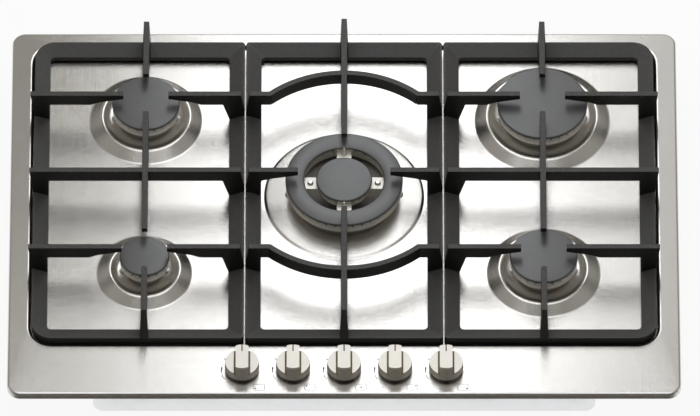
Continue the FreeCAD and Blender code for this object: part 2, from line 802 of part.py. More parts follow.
core = outline(body_sketch(crown, "XZ_Plane"), [
    (mixing_bore, -mixing_drop), (mixing_bore + mixing_wall, -mixing_drop),
    (mixing_bore + mixing_wall, deck - deck_thickness),
    (core_band - crown_wall, deck - deck_thickness), (core_band, band_low),
    (core_band, flame_top - crown_bevel), (core_band - crown_bevel, flame_top),
    (core_band - crown_wall, flame_top), (core_band - crown_wall, deck), (mixing_bore, deck)])
core_turned = crown.newObject("PartDesign::Revolution", "core_turned")
core_turned.Profile = core
core_turned.ReferenceAxis = (core, ["V_Axis"])
core_turned.Angle = 360
cut_ports(crown, middle.band, flame_top - port_height, middle.ports)
cut_ports(crown, outer_inside + crown_wall, flame_top - 2 * port_height, ring_slots)
cut_ports(crown, core_band, flame_top - 2 * port_height, core_slots)
crown_holes = body_sketch(crown, "XY_Plane", 0)
for reach, angle in spark_places(middle):
    ring(crown_holes, 0, reach * round(math.sin(math.radians(angle))), spark_radius + notch_gap)
bridge_screw = (core_band + outer_inside) / 2
for side in (-1, 1):
    ring(crown_holes, bridge_screw * side, 0, screw_shank + fit_gap)
pocket(crown, crown_holes, flame_top * 2, backwards=True)
move(crown, middle.x, middle.y, floor_level)
nodes.append(crown)

ring_cap = new_body("ring_cap_middle")
cap_low = flame_top + seat_gap
cap_top = cap_low + cap_rim
register_in = outer_inside + crown_wall + cap_edge
register_out = register_in + register_width - cap_edge
revolve(ring_cap, [
    (cap_triple_hole, cap_low + cap_edge), (cap_triple_hole + cap_edge, cap_low),
    (register_in, cap_low), (register_in, cap_low - register_drop),
    (register_out, cap_low - register_drop), (register_out, cap_low),
    (cap_triple - cap_edge, cap_low), (cap_triple, cap_low + cap_edge),
    (cap_triple, cap_top - cap_bevel), (cap_triple - cap_bevel, cap_top),
    (cap_triple_hole + cap_bevel, cap_top + cap_crown / 2),
    (cap_triple_hole, cap_top - cap_bevel / 2)])
move(ring_cap, middle.x, middle.y, floor_level)
nodes.append(ring_cap)
nodes.append(make_cap("core_cap_middle", middle, cap_triple_core,
                      core_band - crown_wall - register_gap))


def make_screw(name, x, y, top, length):
    """Pan-head screw, the seat of its head at the given height."""
    body = new_body(name)
    revolve(body, [
        (as_size(0), -length), (screw_shank, -length), (screw_shank, as_size(0)),
        (screw_head, as_size(0)), (screw_head, head_rim), (screw_head - head_bevel, head_height),
        (as_size(0), head_height)])
    move(body, x, y, top)
    return body


nodes.append(group("crown_screws", [
    make_screw(f"crown_screw_{side}", bridge_screw * side, middle.y, floor_level + bridge_top,
               bridge_top - bridge_low) for side in (-1, 1)]))
cup_screws = []
for burner in burners:
    for reach, angle in screw_places(burner):
        across = round(math.cos(math.radians(angle)))
        cup_screws.append(make_screw(f"cup_screw_{len(cup_screws)}", burner.x + reach * across,
                                     burner.y, floor_level + well_level,
                                     cup_wall + plate_sheet))
nodes.append(group("cup_screws", cup_screws))


# ---------------------------------------------------------------- spark plugs and sensors
def make_electrode(name, burner, place, top, length):
    """Ceramic rod with a thin metal tip."""
    reach, angle = place
    body = new_body(name)
    revolve(body, [
        (as_size(0), -cup_boss), (spark_radius, -cup_boss),
        (spark_radius, top - ceramic_bevel), (spark_radius - ceramic_bevel, top), (tip_radius, top),
        (tip_radius, top + length), (as_size(0), top + length)])
    across = math.cos(math.radians(angle))
    along = math.sin(math.radians(angle))
    move(body, burner.x + reach * across, burner.y + reach * along, floor_level)
    return body


plugs, sensors = [], []
for burner in burners:
    lift = spark_lift_triple if burner is middle else as_size(0)
    places = spark_places(burner)
    plugs.append(make_electrode(f"plug_{burner.name}", burner, places[0], spark_top + lift,
                                tip_length))
    sensors.append(make_electrode(f"sensor_{burner.name}", burner, places[1], spark_top + lift,
                                  tip_length))
nodes.append(group("spark_plugs", plugs))
nodes.append(group("flame_sensors", sensors))


# ---------------------------------------------------------------- taps, spindles and knobs
tap_back = tap_depth / 2 - knob_line
cone_level = tap_bottom + plug_floor
cone_top = cone_level + plug_height
spindle_end = cone_top - spindle_entry
panel_level = edge_level + ridge_rise / 2
knob_level = panel_level + knob_gap
rail_line = tap_back + rail_radius + rail_space


def make_tap(index, x):
    """Brass tap with a conical bore, a stub into the gas rail and an outlet."""
    body = new_body(f"tap_body_{index}")
    block = body_sketch(body, "XY_Plane", tap_bottom)
    rounded(block, -(tap_width / 2), tap_width / 2, -(tap_depth / 2), tap_depth / 2,
            [block_corner] * 4)
    pad(body, block, tap_height)
    stub = body_sketch(body, "XZ_Plane", -(tap_depth / 2))
    ring(stub, 0, rail_level, stub_radius)
    stub_pad = pad(body, stub, rail_line - tap_back - rail_radius + rail_wall + bite)
    stub_pad.Reversed = True
    outlet = body_sketch(body, "XZ_Plane", -(tap_depth / 2))
    ring(outlet, 0, pipe_level, pipe_radius + pipe_gap)
    pocket(body, outlet, tap_depth / 2 - plug_large - tap_wall, backwards=True)
    bore = outline(body_sketch(body, "XZ_Plane"), [
        (as_size(0), cone_level), (plug_small + fit_gap, cone_level),
        (plug_large + fit_gap, cone_top), (plug_large + fit_gap, tap_bottom + tap_height + bite),
        (as_size(0), tap_bottom + tap_height + bite)])
    groove = body.newObject("PartDesign::Groove", f"{body.Name}_bore")
    groove.Profile = bore
    groove.ReferenceAxis = (bore, ["V_Axis"])
    groove.Angle = 360
    move(body, x, -knob_line, 0)
    return body


def make_plug(index, x):
    """Conical plug that turns in the tap; the spindle slides in its bore."""
    body = new_body(f"tap_plug_{index}")
    bore_end = spindle_end - push_travel - spindle_room
    revolve(body, [
        (as_size(0), cone_level + fit_gap), (plug_small, cone_level + fit_gap),
        (plug_large, cone_top), (plug_large, cone_top + plug_rim),
        (spindle_radius + fit_gap, cone_top + plug_rim), (spindle_radius + fit_gap, bore_end),
        (as_size(0), bore_end)])
    move(body, x, -knob_line, 0)
    return body


def make_spindle(index, x):
    """Steel spindle with a flat at its top end."""
    body = new_body(f"spindle_{index}")
    top = knob_level + spindle_reach
    revolve(body, [(as_size(0), spindle_end), (spindle_radius, spindle_end),
                   (spindle_radius, top - spindle_bevel), (spindle_radius - spindle_bevel, top),
                   (as_size(0), top)])
    flat = body_sketch(body, "XY_Plane", top - flat_length)
    outline(flat, [(-spindle_radius, spindle_flat), (spindle_radius, spindle_flat),
                   (spindle_radius, spindle_radius * 2), (-spindle_radius, spindle_radius * 2)])
    pocket(body, flat, spindle_reach, backwards=True)
    move(body, x, -knob_line, 0)
    return body


def make_knob(index, x):
    """Knob: a hollow disc with a grip across it and an index line at the back."""
    body = new_body(f"knob_{index}")
    low = knob_level
    disc_top = low + knob_disc
    top = disc_top + grip_height
    inside = knob_radius - knob_wall
    revolve(body, [
        (as_size(0), low + hub_recess), (hub_radius, low + hub_recess),
        (hub_radius, disc_top - knob_wall),
        (inside - knob_draft, disc_top - knob_wall), (inside, low), (knob_radius, low),
        (knob_radius - knob_draft, disc_top - disc_bevel),
        (knob_radius - knob_draft - disc_bevel / 4, disc_top),
        (knob_radius - knob_draft * 2, top - grip_bevel),
        (knob_radius - knob_draft * 2 - grip_bevel, top), (as_size(0), top)])
    sides = body_sketch(body, "XY_Plane", disc_top)
    reach = knob_radius + bite
    for side in (-1, 1):
        near, far = grip_width / 2 * side, reach * side
        outline(sides, [(near, -reach), (far, -reach), (far, reach), (near, reach)])
    pocket(body, sides, grip_height + bite, backwards=True)
    bore = body_sketch(body, "XY_Plane", low)
    ring(bore, 0, 0, spindle_radius + fit_gap)
    pocket(body, bore, spindle_reach + fit_gap, backwards=True)
    mark = body_sketch(body, "XY_Plane", top - mark_depth)
    back = knob_radius - knob_draft * 2 - grip_bevel
    outline(mark, [(-(mark_width / 2), back - mark_length), (mark_width / 2, back - mark_length),
                   (mark_width / 2, back + bite), (-(mark_width / 2), back + bite)])
    pocket(body, mark, mark_depth * 3, backwards=True)
    move(body, x, -knob_line, 0)
    return body


def make_boot(index, x):
    """Rubber ring round the spindle on the plate, which keeps water out."""
    body = new_body(f"boot_{index}")
    revolve(body, [
        (spindle_radius + pipe_gap * 2, as_size(0)), (boot_radius, as_size(0)),
        (boot_radius - boot_slope, boot_height), (spindle_radius + pipe_gap * 2, boot_height)])
    move(body, x, -knob_line, panel_level + seat_gap)
    return body


boots = []
for index, x in enumerate(knob_places, start=1):
    nodes.append(make_tap(index, x))
    nodes.append(make_plug(index, x))
    nodes.append(make_spindle(index, x))
    nodes.append(make_knob(index, x))
    boots.append(make_boot(index, x))
nodes.append(group("spindle_boots", boots))


# ---------------------------------------------------------------- gas rail, inlet and pipes
def path_sketch(body, level, start, corner, end, bend):
    """Two straight runs with a tangent bend between them, in a flat plane."""
    sketch = body_sketch(body, "XY_Plane", level)
    points = [[as_size(c) for c in p] for p in (start, corner, end)]
    flat = [FreeCAD.Vector(p[0].value, p[1].value, 0) for p in points]
    into = (flat[1] - flat[0]).normalize()
    out = (flat[2] - flat[1]).normalize()
    turn = into.getAngle(out)
    cut_back = bend.value * math.tan(turn / 2)
    before = flat[1] - into * cut_back
    after = flat[1] + out * cut_back
    first = sketch.addGeometry(Part.LineSegment(flat[0], before), False)
    last = sketch.addGeometry(Part.LineSegment(after, flat[2]), False)
    middle_way = (out - into).normalize()
    centre = flat[1] + middle_way * (bend.value / math.cos(turn / 2))
    nearest = centre - middle_way * bend.value
    arc = sketch.addGeometry(Part.Arc(before, nearest, after), False)
    near_end, far_end = arc_ends(sketch, arc, before)
    sketch.addConstraint(Sketcher.Constraint("Tangent", first, 2, arc, near_end))
    sketch.addConstraint(Sketcher.Constraint("Tangent", arc, far_end, last, 1))
    tie(sketch, "Radius", arc, bend)
    tie(sketch, "DistanceX", -1, 1, first, 1, start[0])
    tie(sketch, "DistanceY", -1, 1, first, 1, start[1])
    tie(sketch, "DistanceX", -1, 1, last, 2, end[0])
    tie(sketch, "DistanceY", -1, 1, last, 2, end[1])
    return sketch, first


def arc_ends(sketch, arc, start):
    """Which end of an arc lies at the given point."""
    at_first = sketch.getPoint(arc, 1).distanceToPoint(start) < 0.01
    return (1, 2) if at_first else (2, 1)


def pipe_along(body, path, profile):
    pipe = body.newObject("PartDesign::AdditivePipe", f"{body.Name}_pipe")
    pipe.Profile = profile
    pipe.Spine = path
    return pipe


rail = new_body("gas_rail")
rail_start = knob_places[0] - tap_width
inlet_back = casing_length / 2 - casing_sheet
rail_end = inlet_back - union_length
rail_path, first = path_sketch(rail, rail_level, (rail_start, rail_line),
                               (inlet_side, rail_line), (inlet_side, rail_end), rail_bend)
rail_path.addConstraint(Sketcher.Constraint("Horizontal", first))
rail_ring = body_sketch(rail, "YZ_Plane", rail_start)
ring(rail_ring, rail_line, rail_level, rail_radius)
ring(rail_ring, rail_line, rail_level, rail_radius - rail_wall)
pipe_along(rail, rail_path, rail_ring)
rail_cap = body_sketch(rail, "YZ_Plane", rail_start - rail_plug)
ring(rail_cap, rail_line, rail_level, rail_radius)
pad(rail, rail_cap, rail_plug)
stub_holes = body_sketch(rail, "XZ_Plane", -rail_line)
for x in knob_places:
    ring(stub_holes, x, rail_level, stub_radius + pipe_gap)
pocket(rail, stub_holes, rail_radius * 2, backwards=True)
nodes.append(rail)

connector = new_body("gas_inlet")
wall = casing_length / 2
flange_front = inlet_back - flange_length
revolve(connector, [
    (inlet_bore, rail_end - bite), (inlet_bore + union_wall, rail_end - bite),
    (inlet_bore + union_wall, flange_front), (inlet_radius + union_flange, flange_front),
    (inlet_radius + union_flange, inlet_back), (inlet_neck, inlet_back),
    (inlet_neck, wall + inlet_relief), (inlet_radius, wall + inlet_relief),
    (inlet_radius, wall + inlet_length),
    (inlet_bore, wall + inlet_length)], role="XY_Plane")
socket_hole = body_sketch(connector, "XZ_Plane", -(rail_end - bite * 2))
ring(socket_hole, 0, 0, rail_radius + pipe_gap)
pocket(connector, socket_hole, union_depth)
move(connector, inlet_side, 0, rail_level)
nodes.append(connector)


def make_pipe(burner, x):
    """Aluminium pipe from a tap to a burner's cup."""
    body = new_body(f"feed_pipe_{burner.name}")
    start_y = tap_back - tap_depth / 2 + plug_large + tap_wall + bite
    away = math.radians(burner.pipe_angle)
    reach = jet_stem + cup_wall + pipe_end_gap
    end = (burner.x + reach * math.cos(away), burner.y + reach * math.sin(away))
    profile = body_sketch(body, "XZ_Plane", -start_y)
    if burner is middle:
        ring(profile, x, pipe_level, pipe_radius)
        straight = pad(body, profile, end[1] - start_y)
        straight.Reversed = True
        return body
    rise = end[1] - (end[0] - x) * math.tan(away)
    corner = (x, rise)
    path, first = path_sketch(body, pipe_level, (x, start_y), corner, end, pipe_bend)
    path.addConstraint(Sketcher.Constraint("Vertical", first))
    ring(profile, x, pipe_level, pipe_radius)
    pipe_along(body, path, profile)
    return body


for burner, x in zip(burners, knob_places):
    nodes.append(make_pipe(burner, x))


# ---------------------------------------------------------------- spark unit and mains gland
unit = new_body("spark_unit")
unit_sketch = body_sketch(unit, "XY_Plane", casing_sheet)
rounded(unit_sketch, -(unit_width / 2), unit_width / 2, -(unit_depth / 2), unit_depth / 2,
        [block_corner] * 4)
pad(unit, unit_sketch, unit_height)
move(unit, -unit_side, unit_line, 0)
nodes.append(unit)

gland = new_body("mains_gland")
revolve(gland, [
    (gland_bore, wall - gland_length), (gland_radius, wall - gland_length), (gland_radius, wall),
    (gland_flange, wall), (gland_flange - gland_bevel, wall + gland_rim),
    (gland_bore, wall + gland_rim)],
    role="XY_Plane")
move(gland, -unit_side, 0, gland_level)
nodes.append(gland)


# ---------------------------------------------------------------- pan supports
# A frame whose rails slope inwards, with upright bars that stand on it on legs and
# reach over the burners as tapering fingers.
foot_level = floor_level + foot_height
bars_level = floor_level + bar_top
bars_under = bars_level - bar_depth


def make_frame(name, left, right, radii):
    """Frame of one support: a sloped rail round a window."""
    front, back = -support_front, support_back
    body = new_body(name)
    pad(body, rounded(body_sketch(body, "XY_Plane", foot_level), left, right, front, back, radii),
        frame_outer - foot_height)
    inner = [left + frame_width, right - frame_width, front + frame_width, back - frame_width]
    lower = rounded(body_sketch(body, "XY_Plane", floor_level + frame_inner), *inner,
                    [window_corner] * 4)
    upper = rounded(body_sketch(body, "XY_Plane", floor_level + frame_outer), left + frame_land,
                    right - frame_land, front + frame_land, back - frame_land,
                    [r - frame_land for r in radii])
    slope = body.newObject("PartDesign::SubtractiveLoft", f"{name}_slope")
    slope.Profile = lower
    slope.Sections = [upper]
    slope.Ruled = True
    window = rounded(body_sketch(body, "XY_Plane", foot_level - bite), *inner, [window_corner] * 4)
    pocket(body, window, frame_outer + bite * 2, backwards=True)
    return body


def leg(root, way, lean, width=leg_width):
    """Half outline of a bar's footed end, from the bar's underside to its top."""
    return [(root + way * width, bars_under),
            (root + way * frame_width, floor_level + frame_inner),
            (root + way * frame_width, foot_level), (root, foot_level),
            (root, floor_level + frame_outer), (root + way * lean, bars_level)]


def tip(end, way, short=False):
    """Half outline of a bar's free end, from its top to the bar's underside."""
    points = [(end, bars_level), (end, bars_level - tip_depth),
              (end - way * knee_reach, bars_level - knee_depth)]
    return points if short else points + [(end - way * taper_reach, bars_under)]


def make_bar(name, rotation, station, low, high, corners):
    """A bar: stock that narrows upwards, trimmed to its side outline."""
    place = {"y": station} if rotation is ALONG_X else {"x": station}
    stock = document.addObject("Part::Wedge", f"{name}_stock")
    limits = {"Xmin": low, "X2min": low, "Xmax": high, "X2max": high,
              "Ymin": foot_level, "Ymax": bars_level,
              "Zmin": -(bar_foot / 2), "Zmax": bar_foot / 2,
              "Z2min": -(bar_width / 2), "Z2max": bar_width / 2}
    for side, amount in limits.items():
        setattr(stock, side, as_size(amount).value)
        stock.setExpression(side, as_size(amount).formula)
    move(stock, rotation=rotation, **place)
    sketch = outline(free_sketch(f"{name}_outline", rotation=rotation, **place), corners)
    blade = document.addObject("Part::Extrusion", f"{name}_blade")
    blade.Base = sketch
    blade.DirMode = "Normal"
    blade.Solid = True
    blade.Symmetric = True
    blade.setExpression("LengthFwd", (bar_foot * 2).formula)
    bar = document.addObject("Part::Common", name)
    bar.Base = stock
    bar.Tool = blade
    return bar


def finger(name, rotation, station, root, end, lean, way, width=leg_width, short=False):
    outer = root + way * lean if as_size(lean).value < 0 else root
    low, high = (outer, end) if way > 0 else (end, outer)
    return make_bar(name, rotation, station, low, high,
                    leg(root, way, lean, width) + tip(end, way, short))


def bridge_bar(name, rotation, station, low, high):
    """A bar across a side support, from its outer edge (low) to its inner edge (high)."""
    return make_bar(name, rotation, station, low + leg_lean, high,
                    leg(low, 1, leg_lean)
                    + list(reversed(leg(high, -1, leg_lean_inner, leg_width_inner))))


def beam(name, rotation, station, low, high):
    return make_bar(name, rotation, station, low, high,
                    list(reversed(tip(low, -1))) + tip(high, 1))


def make_feet(label, left, right):
    """Rubber feet under the corners of one frame and half-way along its sides."""
    inset = frame_width / 2
    feet = []
    rows = (foot_corner - support_front, burner_line, support_back - foot_corner)
    for side in (left + inset, right - inset):
        for row in rows:
            feet.append(rod(f"{label}_{len(feet)}", foot_radius, foot_height - seat_gap,
                            side, row, floor_level + seat_gap))
    return group(label, feet)


# Side supports: the left one is drawn and the right one is its mirror image.
middle_edge = middle_support / 2
side_right = -(middle_edge + support_gap)
side_left = side_right - side_support
burner_x = -burner_side
side_pieces = [make_frame("side_frame", side_left, side_right,
                          [outer_corner, inner_corner, inner_corner, outer_corner])]
for row_name, row in (("back_row", BACK_LINE), ("front_row", FRONT_LINE)):
    side_pieces.append(finger(f"{row_name}_outer", ALONG_X, row, side_left,
                              burner_x - tip_side, leg_lean, 1))
    side_pieces.append(finger(f"{row_name}_inner", ALONG_X, row, side_right,
                              burner_x + tip_side, leg_lean_inner, -1, leg_width_inner))
side_pieces.append(bridge_bar("side_crossbar", ALONG_X, burner_line, side_left, side_right))
side_pieces.append(finger("side_back_finger", ALONG_Y, burner_x, support_back,
                          BACK_LINE + tip_length_way, leg_lean_back, -1))
side_pieces.append(finger("side_front_finger", ALONG_Y, burner_x, -support_front,
                          FRONT_LINE - tip_length_way, leg_lean_front, 1))
side_pieces.append(beam("side_beam", ALONG_Y, burner_x, FRONT_LINE + tip_side,
                        BACK_LINE - tip_side))
left_support = join("pan_support_left", side_pieces)
right_support = document.addObject("Part::Mirroring", "pan_support_right")
right_support.Label = "pan_support_right"
right_support.Source = left_support
right_support.Normal = FreeCAD.Vector(1, 0, 0)

# Middle support: two fingers from the sides, two along, and two curved bars.
middle_pieces = [make_frame("middle_frame", -middle_edge, middle_edge, [inner_corner] * 4)]
for side, way in ((-1, 1), (1, -1)):
    side_name = "left" if side < 0 else "right"
    middle_pieces.append(finger(f"middle_finger_{side_name}", ALONG_X, burner_line,
                                middle_edge * side, tip_triple * side, leg_lean_inner, way,
                                short=True))
    for row_name, row in (("back", BACK_LINE), ("front", FRONT_LINE)):
        root = middle_edge * side
        end = (arch_reach - bar_width / 4) * side
        corners = leg(root, way, leg_lean_inner) + [(end, bars_level), (end, bars_under)]
        low, high = (root, end) if way > 0 else (end, root)
        middle_pieces.append(make_bar(f"arch_end_{row_name}_{side_name}", ALONG_X, row, low, high,
                                      corners))
middle_pieces.append(finger("middle_back_finger", ALONG_Y, 0, support_back,
                            burner_line + tip_triple, -bow_overhang, -1))
middle_pieces.append(finger("middle_front_finger", ALONG_Y, 0, -support_front,
                            burner_line - tip_triple, leg_lean_front, 1))


arch_drop = Size(math.sqrt(arch_radius.value ** 2 - arch_reach.value ** 2),
                 f"sqrt({arch_radius.formula} ^ 2 - {arch_reach.formula} ^ 2)")


def make_arch(name, centre, facing):
    """A bar bent round the middle burner, with the bars' own section."""
    share = bar_depth / (bar_top - foot_height)
    low_width = bar_width + (bar_foot - bar_width) * share
    section = outline(free_sketch(f"{name}_section", rotation=FreeCAD.Rotation(0, 0, 90)), [
        (arch_radius - low_width / 2, bars_under), (arch_radius + low_width / 2, bars_under),
        (arch_radius + bar_width / 2, bars_level), (arch_radius - bar_width / 2, bars_level)])
    swept = document.addObject("Part::Revolution", name)
    swept.Source = section
    swept.Axis = FreeCAD.Vector(0, 0, 1)
    swept.Base = FreeCAD.Vector(0, 0, 0)
    swept.Solid = True
    swept.Symmetric = True
    swept.setExpression("Angle", f"2 * asin({arch_reach.formula} / {arch_radius.formula})")
    move(swept, 0, centre, 0, turned_about(facing))
    return swept


middle_pieces.append(make_arch("arch_back", BACK_LINE - arch_drop, 90))
middle_pieces.append(make_arch("arch_front", FRONT_LINE + arch_drop, -90))
middle_pan_support = join("pan_support_middle", middle_pieces)
nodes += [left_support, middle_pan_support, right_support]
nodes.append(make_feet("support_feet_left", side_left, side_right))
nodes.append(make_feet("support_feet_middle", -middle_edge, middle_edge))
nodes.append(make_feet("support_feet_right", -side_right, -side_left))

# ---------------------------------------------------------------- checks and files
document.recompute()
faults = []
for item in document.Objects:
    if "Invalid" in item.State or "Error" in item.State:
        faults.append(f"{item.Label}: {item.State}")
for node in nodes:
    shape = node.Shape
    if shape.isNull() or not shape.isValid() or not shape.Solids:
        faults.append(f"{node.Label}: its shape isn't a valid solid")
if faults:
    raise RuntimeError("; ".join(faults))

os.makedirs("parts", exist_ok=True)
for node in nodes:
    node.Shape.exportStep(f"parts/{node.Label}.step")
    box = node.Shape.BoundBox
    print(f"{node.Label:24} {len(node.Shape.Solids):2} solids {node.Shape.Volume:10.0f} mm3 "
          f"x {box.XMin:7.1f} {box.XMax:7.1f} y {box.YMin:7.1f} {box.YMax:7.1f} "
          f"z {box.ZMin:6.1f} {box.ZMax:6.1f}")
print(len(nodes), "nodes")
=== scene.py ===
import math

import bmesh
import bpy
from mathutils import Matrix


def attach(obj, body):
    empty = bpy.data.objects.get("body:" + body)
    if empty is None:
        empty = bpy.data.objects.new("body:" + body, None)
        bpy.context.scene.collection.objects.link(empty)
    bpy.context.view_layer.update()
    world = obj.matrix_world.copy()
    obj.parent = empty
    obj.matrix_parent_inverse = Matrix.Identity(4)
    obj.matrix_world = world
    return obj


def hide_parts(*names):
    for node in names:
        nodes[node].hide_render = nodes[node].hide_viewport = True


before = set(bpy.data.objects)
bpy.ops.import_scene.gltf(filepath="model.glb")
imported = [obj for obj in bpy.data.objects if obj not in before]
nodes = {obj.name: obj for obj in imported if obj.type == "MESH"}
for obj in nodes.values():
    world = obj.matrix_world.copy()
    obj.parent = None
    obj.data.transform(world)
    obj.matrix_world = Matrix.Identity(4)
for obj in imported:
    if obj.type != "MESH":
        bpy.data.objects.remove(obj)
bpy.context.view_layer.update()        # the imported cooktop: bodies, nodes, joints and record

bpy.ops.object.select_all(action="DESELECT")
mm = 0.001

# ---------------------------------------------------------------- top plate
# One sheet of brushed stainless steel, pressed in a single tool: a rolled lip, a border
# that climbs to a ridge, a step down into the recess, and the burner holes in raised cones.
# It is drawn as rounded rectangles bridged from the lip inwards, with turned cones let in.

close = 0.01 * mm        # points nearer than this count as one
half_width = 370 * mm
half_depth = 255 * mm
plate_corner = 15 * mm
corner_steps = 12
sheet = 1 * mm
lip_level = 45.5 * mm
roll_level = 51.5 * mm
roll_width = 3 * mm
roll_height = 2.5 * mm
roll_steps = 4
ridge_level = 55.5 * mm
floor_level = 50 * mm
border_side = 23 * mm
border_back = 18 * mm
border_front = 67 * mm
recess_corner = 26 * mm
plate_softness = 1.45 * mm
spindle_hole = 5.5 * mm

# The ridge and the step: run inwards and height against the ridge, in millimetres.
ridge_curve = [(-3, -0.1), (-2.1, -0.04), (-1.3, -0.12), (-0.5, -0.3), (0.2, -0.65), (0.9, -1.35),
               (1.6, -2.5), (2.3, -3.9), (3, -4.9), (3.8, -5.38), (4.6, -5.5)]
# A cone: run outwards from the cap's edge and height above the recess, in millimetres.
cone_curve = [(26, 0), (24.6, 0.25), (23.4, 0.9), (14, 8), (13, 8.6), (12, 8.95), (11, 9), (10, 8.8),
              (9, 8.3), (7.5, 7.1), (6, 6), (4, 5), (1.5, 4.35), (-2, 4.05), (-7.5, 4)]
# The low ring round the middle burner: radius and height above the recess, in millimetres.
low_ring_curve = [(89, 0), (88, 0.2), (86.5, 1.2), (85.5, 1.5), (82, 1.7), (57.5, 4)]

# Each burner's place, and the radius of its cap.
burners = {
    "front_left": (-220 * mm, -83 * mm, 27.5 * mm),
    "back_left": (-220 * mm, 133 * mm, 37.5 * mm),
    "back_right": (220 * mm, 133 * mm, 50 * mm),
    "front_right": (220 * mm, -83 * mm, 37.5 * mm),
    "middle": (0, 25 * mm, 65 * mm),
}
knob_places = [-112 * mm, -56 * mm, 0, 56 * mm, 112 * mm]
knob_line = -221 * mm


def pick_edges(choose):
    """In edit mode, selects the edges that choose() takes, and no others."""
    bpy.ops.mesh.select_all(action="DESELECT")
    bpy.ops.mesh.select_mode(type="EDGE")
    mesh = bmesh.from_edit_mesh(bpy.context.object.data)
    for edge in mesh.edges:
        if choose(edge):
            edge.select_set(True)
    mesh.select_flush_mode()
    bmesh.update_edit_mesh(bpy.context.object.data)


def named(name):
    """Gives the newest primitive its name and opens it in edit mode."""
    piece = bpy.context.object
    piece.name = name
    piece.data.name = name
    bpy.ops.object.mode_set(mode="EDIT")
    return piece


def joined(name, pieces):
    """Joins several objects into the first of them."""
    bpy.ops.object.select_all(action="DESELECT")
    for piece in pieces:
        piece.select_set(True)
    bpy.context.view_layer.objects.active = pieces[0]
    bpy.ops.object.join()
    pieces[0].name = name
    pieces[0].data.name = name
    return pieces[0]


def rounded_loop(name, left, right, front, back, radius, level):
    """A closed loop of edges: a plane with its corners rounded and its face taken out."""
    middle = ((left + right) / 2, (front + back) / 2, level)
    bpy.ops.mesh.primitive_plane_add(size=1, location=middle)
    loop = bpy.context.object
    loop.scale = (right - left, back - front, 1)
    bpy.ops.object.transform_apply(location=True, rotation=True, scale=True)
    named(name)
    bpy.ops.mesh.select_all(action="SELECT")
    bpy.ops.mesh.bevel(offset=radius, affect="VERTICES", segments=corner_steps)
    bpy.ops.mesh.select_all(action="SELECT")
    bpy.ops.mesh.delete(type="ONLY_FACE")
    bpy.ops.object.mode_set(mode="OBJECT")
    return loop


def turned(name, x, y, profile, sides=96):
    """A turned piece: one point drawn out along the profile, then spun round its axis."""
    radius, height = profile[0]
    bpy.ops.mesh.primitive_plane_add(size=mm, location=(x + radius, y, height))
    bpy.ops.object.transform_apply(location=True, rotation=True, scale=True)
    piece = named(name)
    bpy.ops.mesh.select_mode(type="VERT")
    bpy.ops.mesh.select_all(action="SELECT")
    bpy.ops.mesh.merge(type="CENTER")
    for (radius, height), (to_radius, to_height) in zip(profile, profile[1:]):
        step = (to_radius - radius, 0, to_height - height)
        bpy.ops.mesh.extrude_region_move(TRANSFORM_OT_translate={"value": step})
    bpy.ops.mesh.select_all(action="SELECT")
    bpy.ops.mesh.spin(steps=sides, angle=2 * math.pi, center=(x, y, 0), axis=(0, 0, 1))
    bpy.ops.mesh.select_all(action="SELECT")
    bpy.ops.mesh.remove_doubles(threshold=close)
    bpy.ops.mesh.normals_make_consistent(inside=False)
    bpy.ops.object.mode_set(mode="OBJECT")
    return piece


def modified(piece, kind, **settings):
    """Adds a modifier with its settings and applies it."""
    bpy.ops.object.select_all(action="DESELECT")
    piece.select_set(True)
    bpy.context.view_layer.objects.active = piece
    modifier = piece.modifiers.new(kind.title(), kind)
    for setting, value in settings.items():
        setattr(modifier, setting, value)
    bpy.ops.object.modifier_apply(modifier=modifier.name)


def smoothed(piece, angle=30):
    """Shades a piece smooth, sharp only where it turns by more than the angle."""
    bpy.ops.object.select_all(action="DESELECT")
    piece.select_set(True)
    bpy.context.view_layer.objects.active = piece
    bpy.ops.object.shade_smooth_by_angle(angle=math.radians(angle))
    modified(piece, "WEIGHTED_NORMAL", mode="FACE_AREA", keep_sharp=True)
    bpy.ops.object.select_all(action="DESELECT")


# The rolled lip, the border, the step and the recess.
loops = [rounded_loop("lip", -half_width, half_width, -half_depth, half_depth, plate_corner,
                      lip_level)]
for turn in range(roll_steps + 1):
    angle = math.radians(90 * turn / roll_steps)
    inset = roll_width * (1 - math.cos(angle))
    loops.append(rounded_loop("roll", inset - half_width, half_width - inset, inset - half_depth,
                              half_depth - inset, plate_corner - inset,
                              roll_level + roll_height * math.sin(angle)))
for run, drop in ridge_curve:
    inset = run * mm
    loops.append(rounded_loop("recess", border_side + inset - half_width,
                              half_width - border_side - inset,
                              border_front + inset - half_depth,
                              half_depth - border_back - inset, recess_corner - inset,
                              ridge_level + drop * mm))
levels = [loop.data.vertices[0].co.z for loop in loops]
plate = joined("top_plate_steel", loops)
bpy.ops.object.mode_set(mode="EDIT")
for low, high in zip(levels, levels[1:]):
    pick_edges(lambda edge: all(min(abs(end.co.z - low), abs(end.co.z - high)) < close
                                for end in edge.verts))
    bpy.ops.mesh.bridge_edge_loops()
bpy.ops.object.mode_set(mode="OBJECT")

# The cones, and the low ring round the middle burner.
cones = []
for name, (x, y, cap) in burners.items():
    section = [(cap + run * mm, floor_level + rise * mm) for run, rise in cone_curve]
    if name == "middle":
        section = [(radius * mm, floor_level + rise * mm) for radius, rise in low_ring_curve]
    cones.append(turned("cone", x, y, section))
plate = joined("top_plate_steel", [plate] + cones)
bpy.ops.object.mode_set(mode="EDIT")
pick_edges(lambda edge: edge.is_boundary
           and all(abs(end.co.z - floor_level) < close for end in edge.verts))
bpy.ops.mesh.fill(use_beauty=True)
bpy.ops.mesh.select_all(action="SELECT")
bpy.ops.mesh.normals_make_consistent(inside=False)
bpy.ops.object.mode_set(mode="OBJECT")
modified(plate, "BEVEL", width=plate_softness, segments=4, limit_method="ANGLE",
         angle_limit=math.radians(25), use_clamp_overlap=True)
modified(plate, "SOLIDIFY", thickness=sheet, offset=-1)

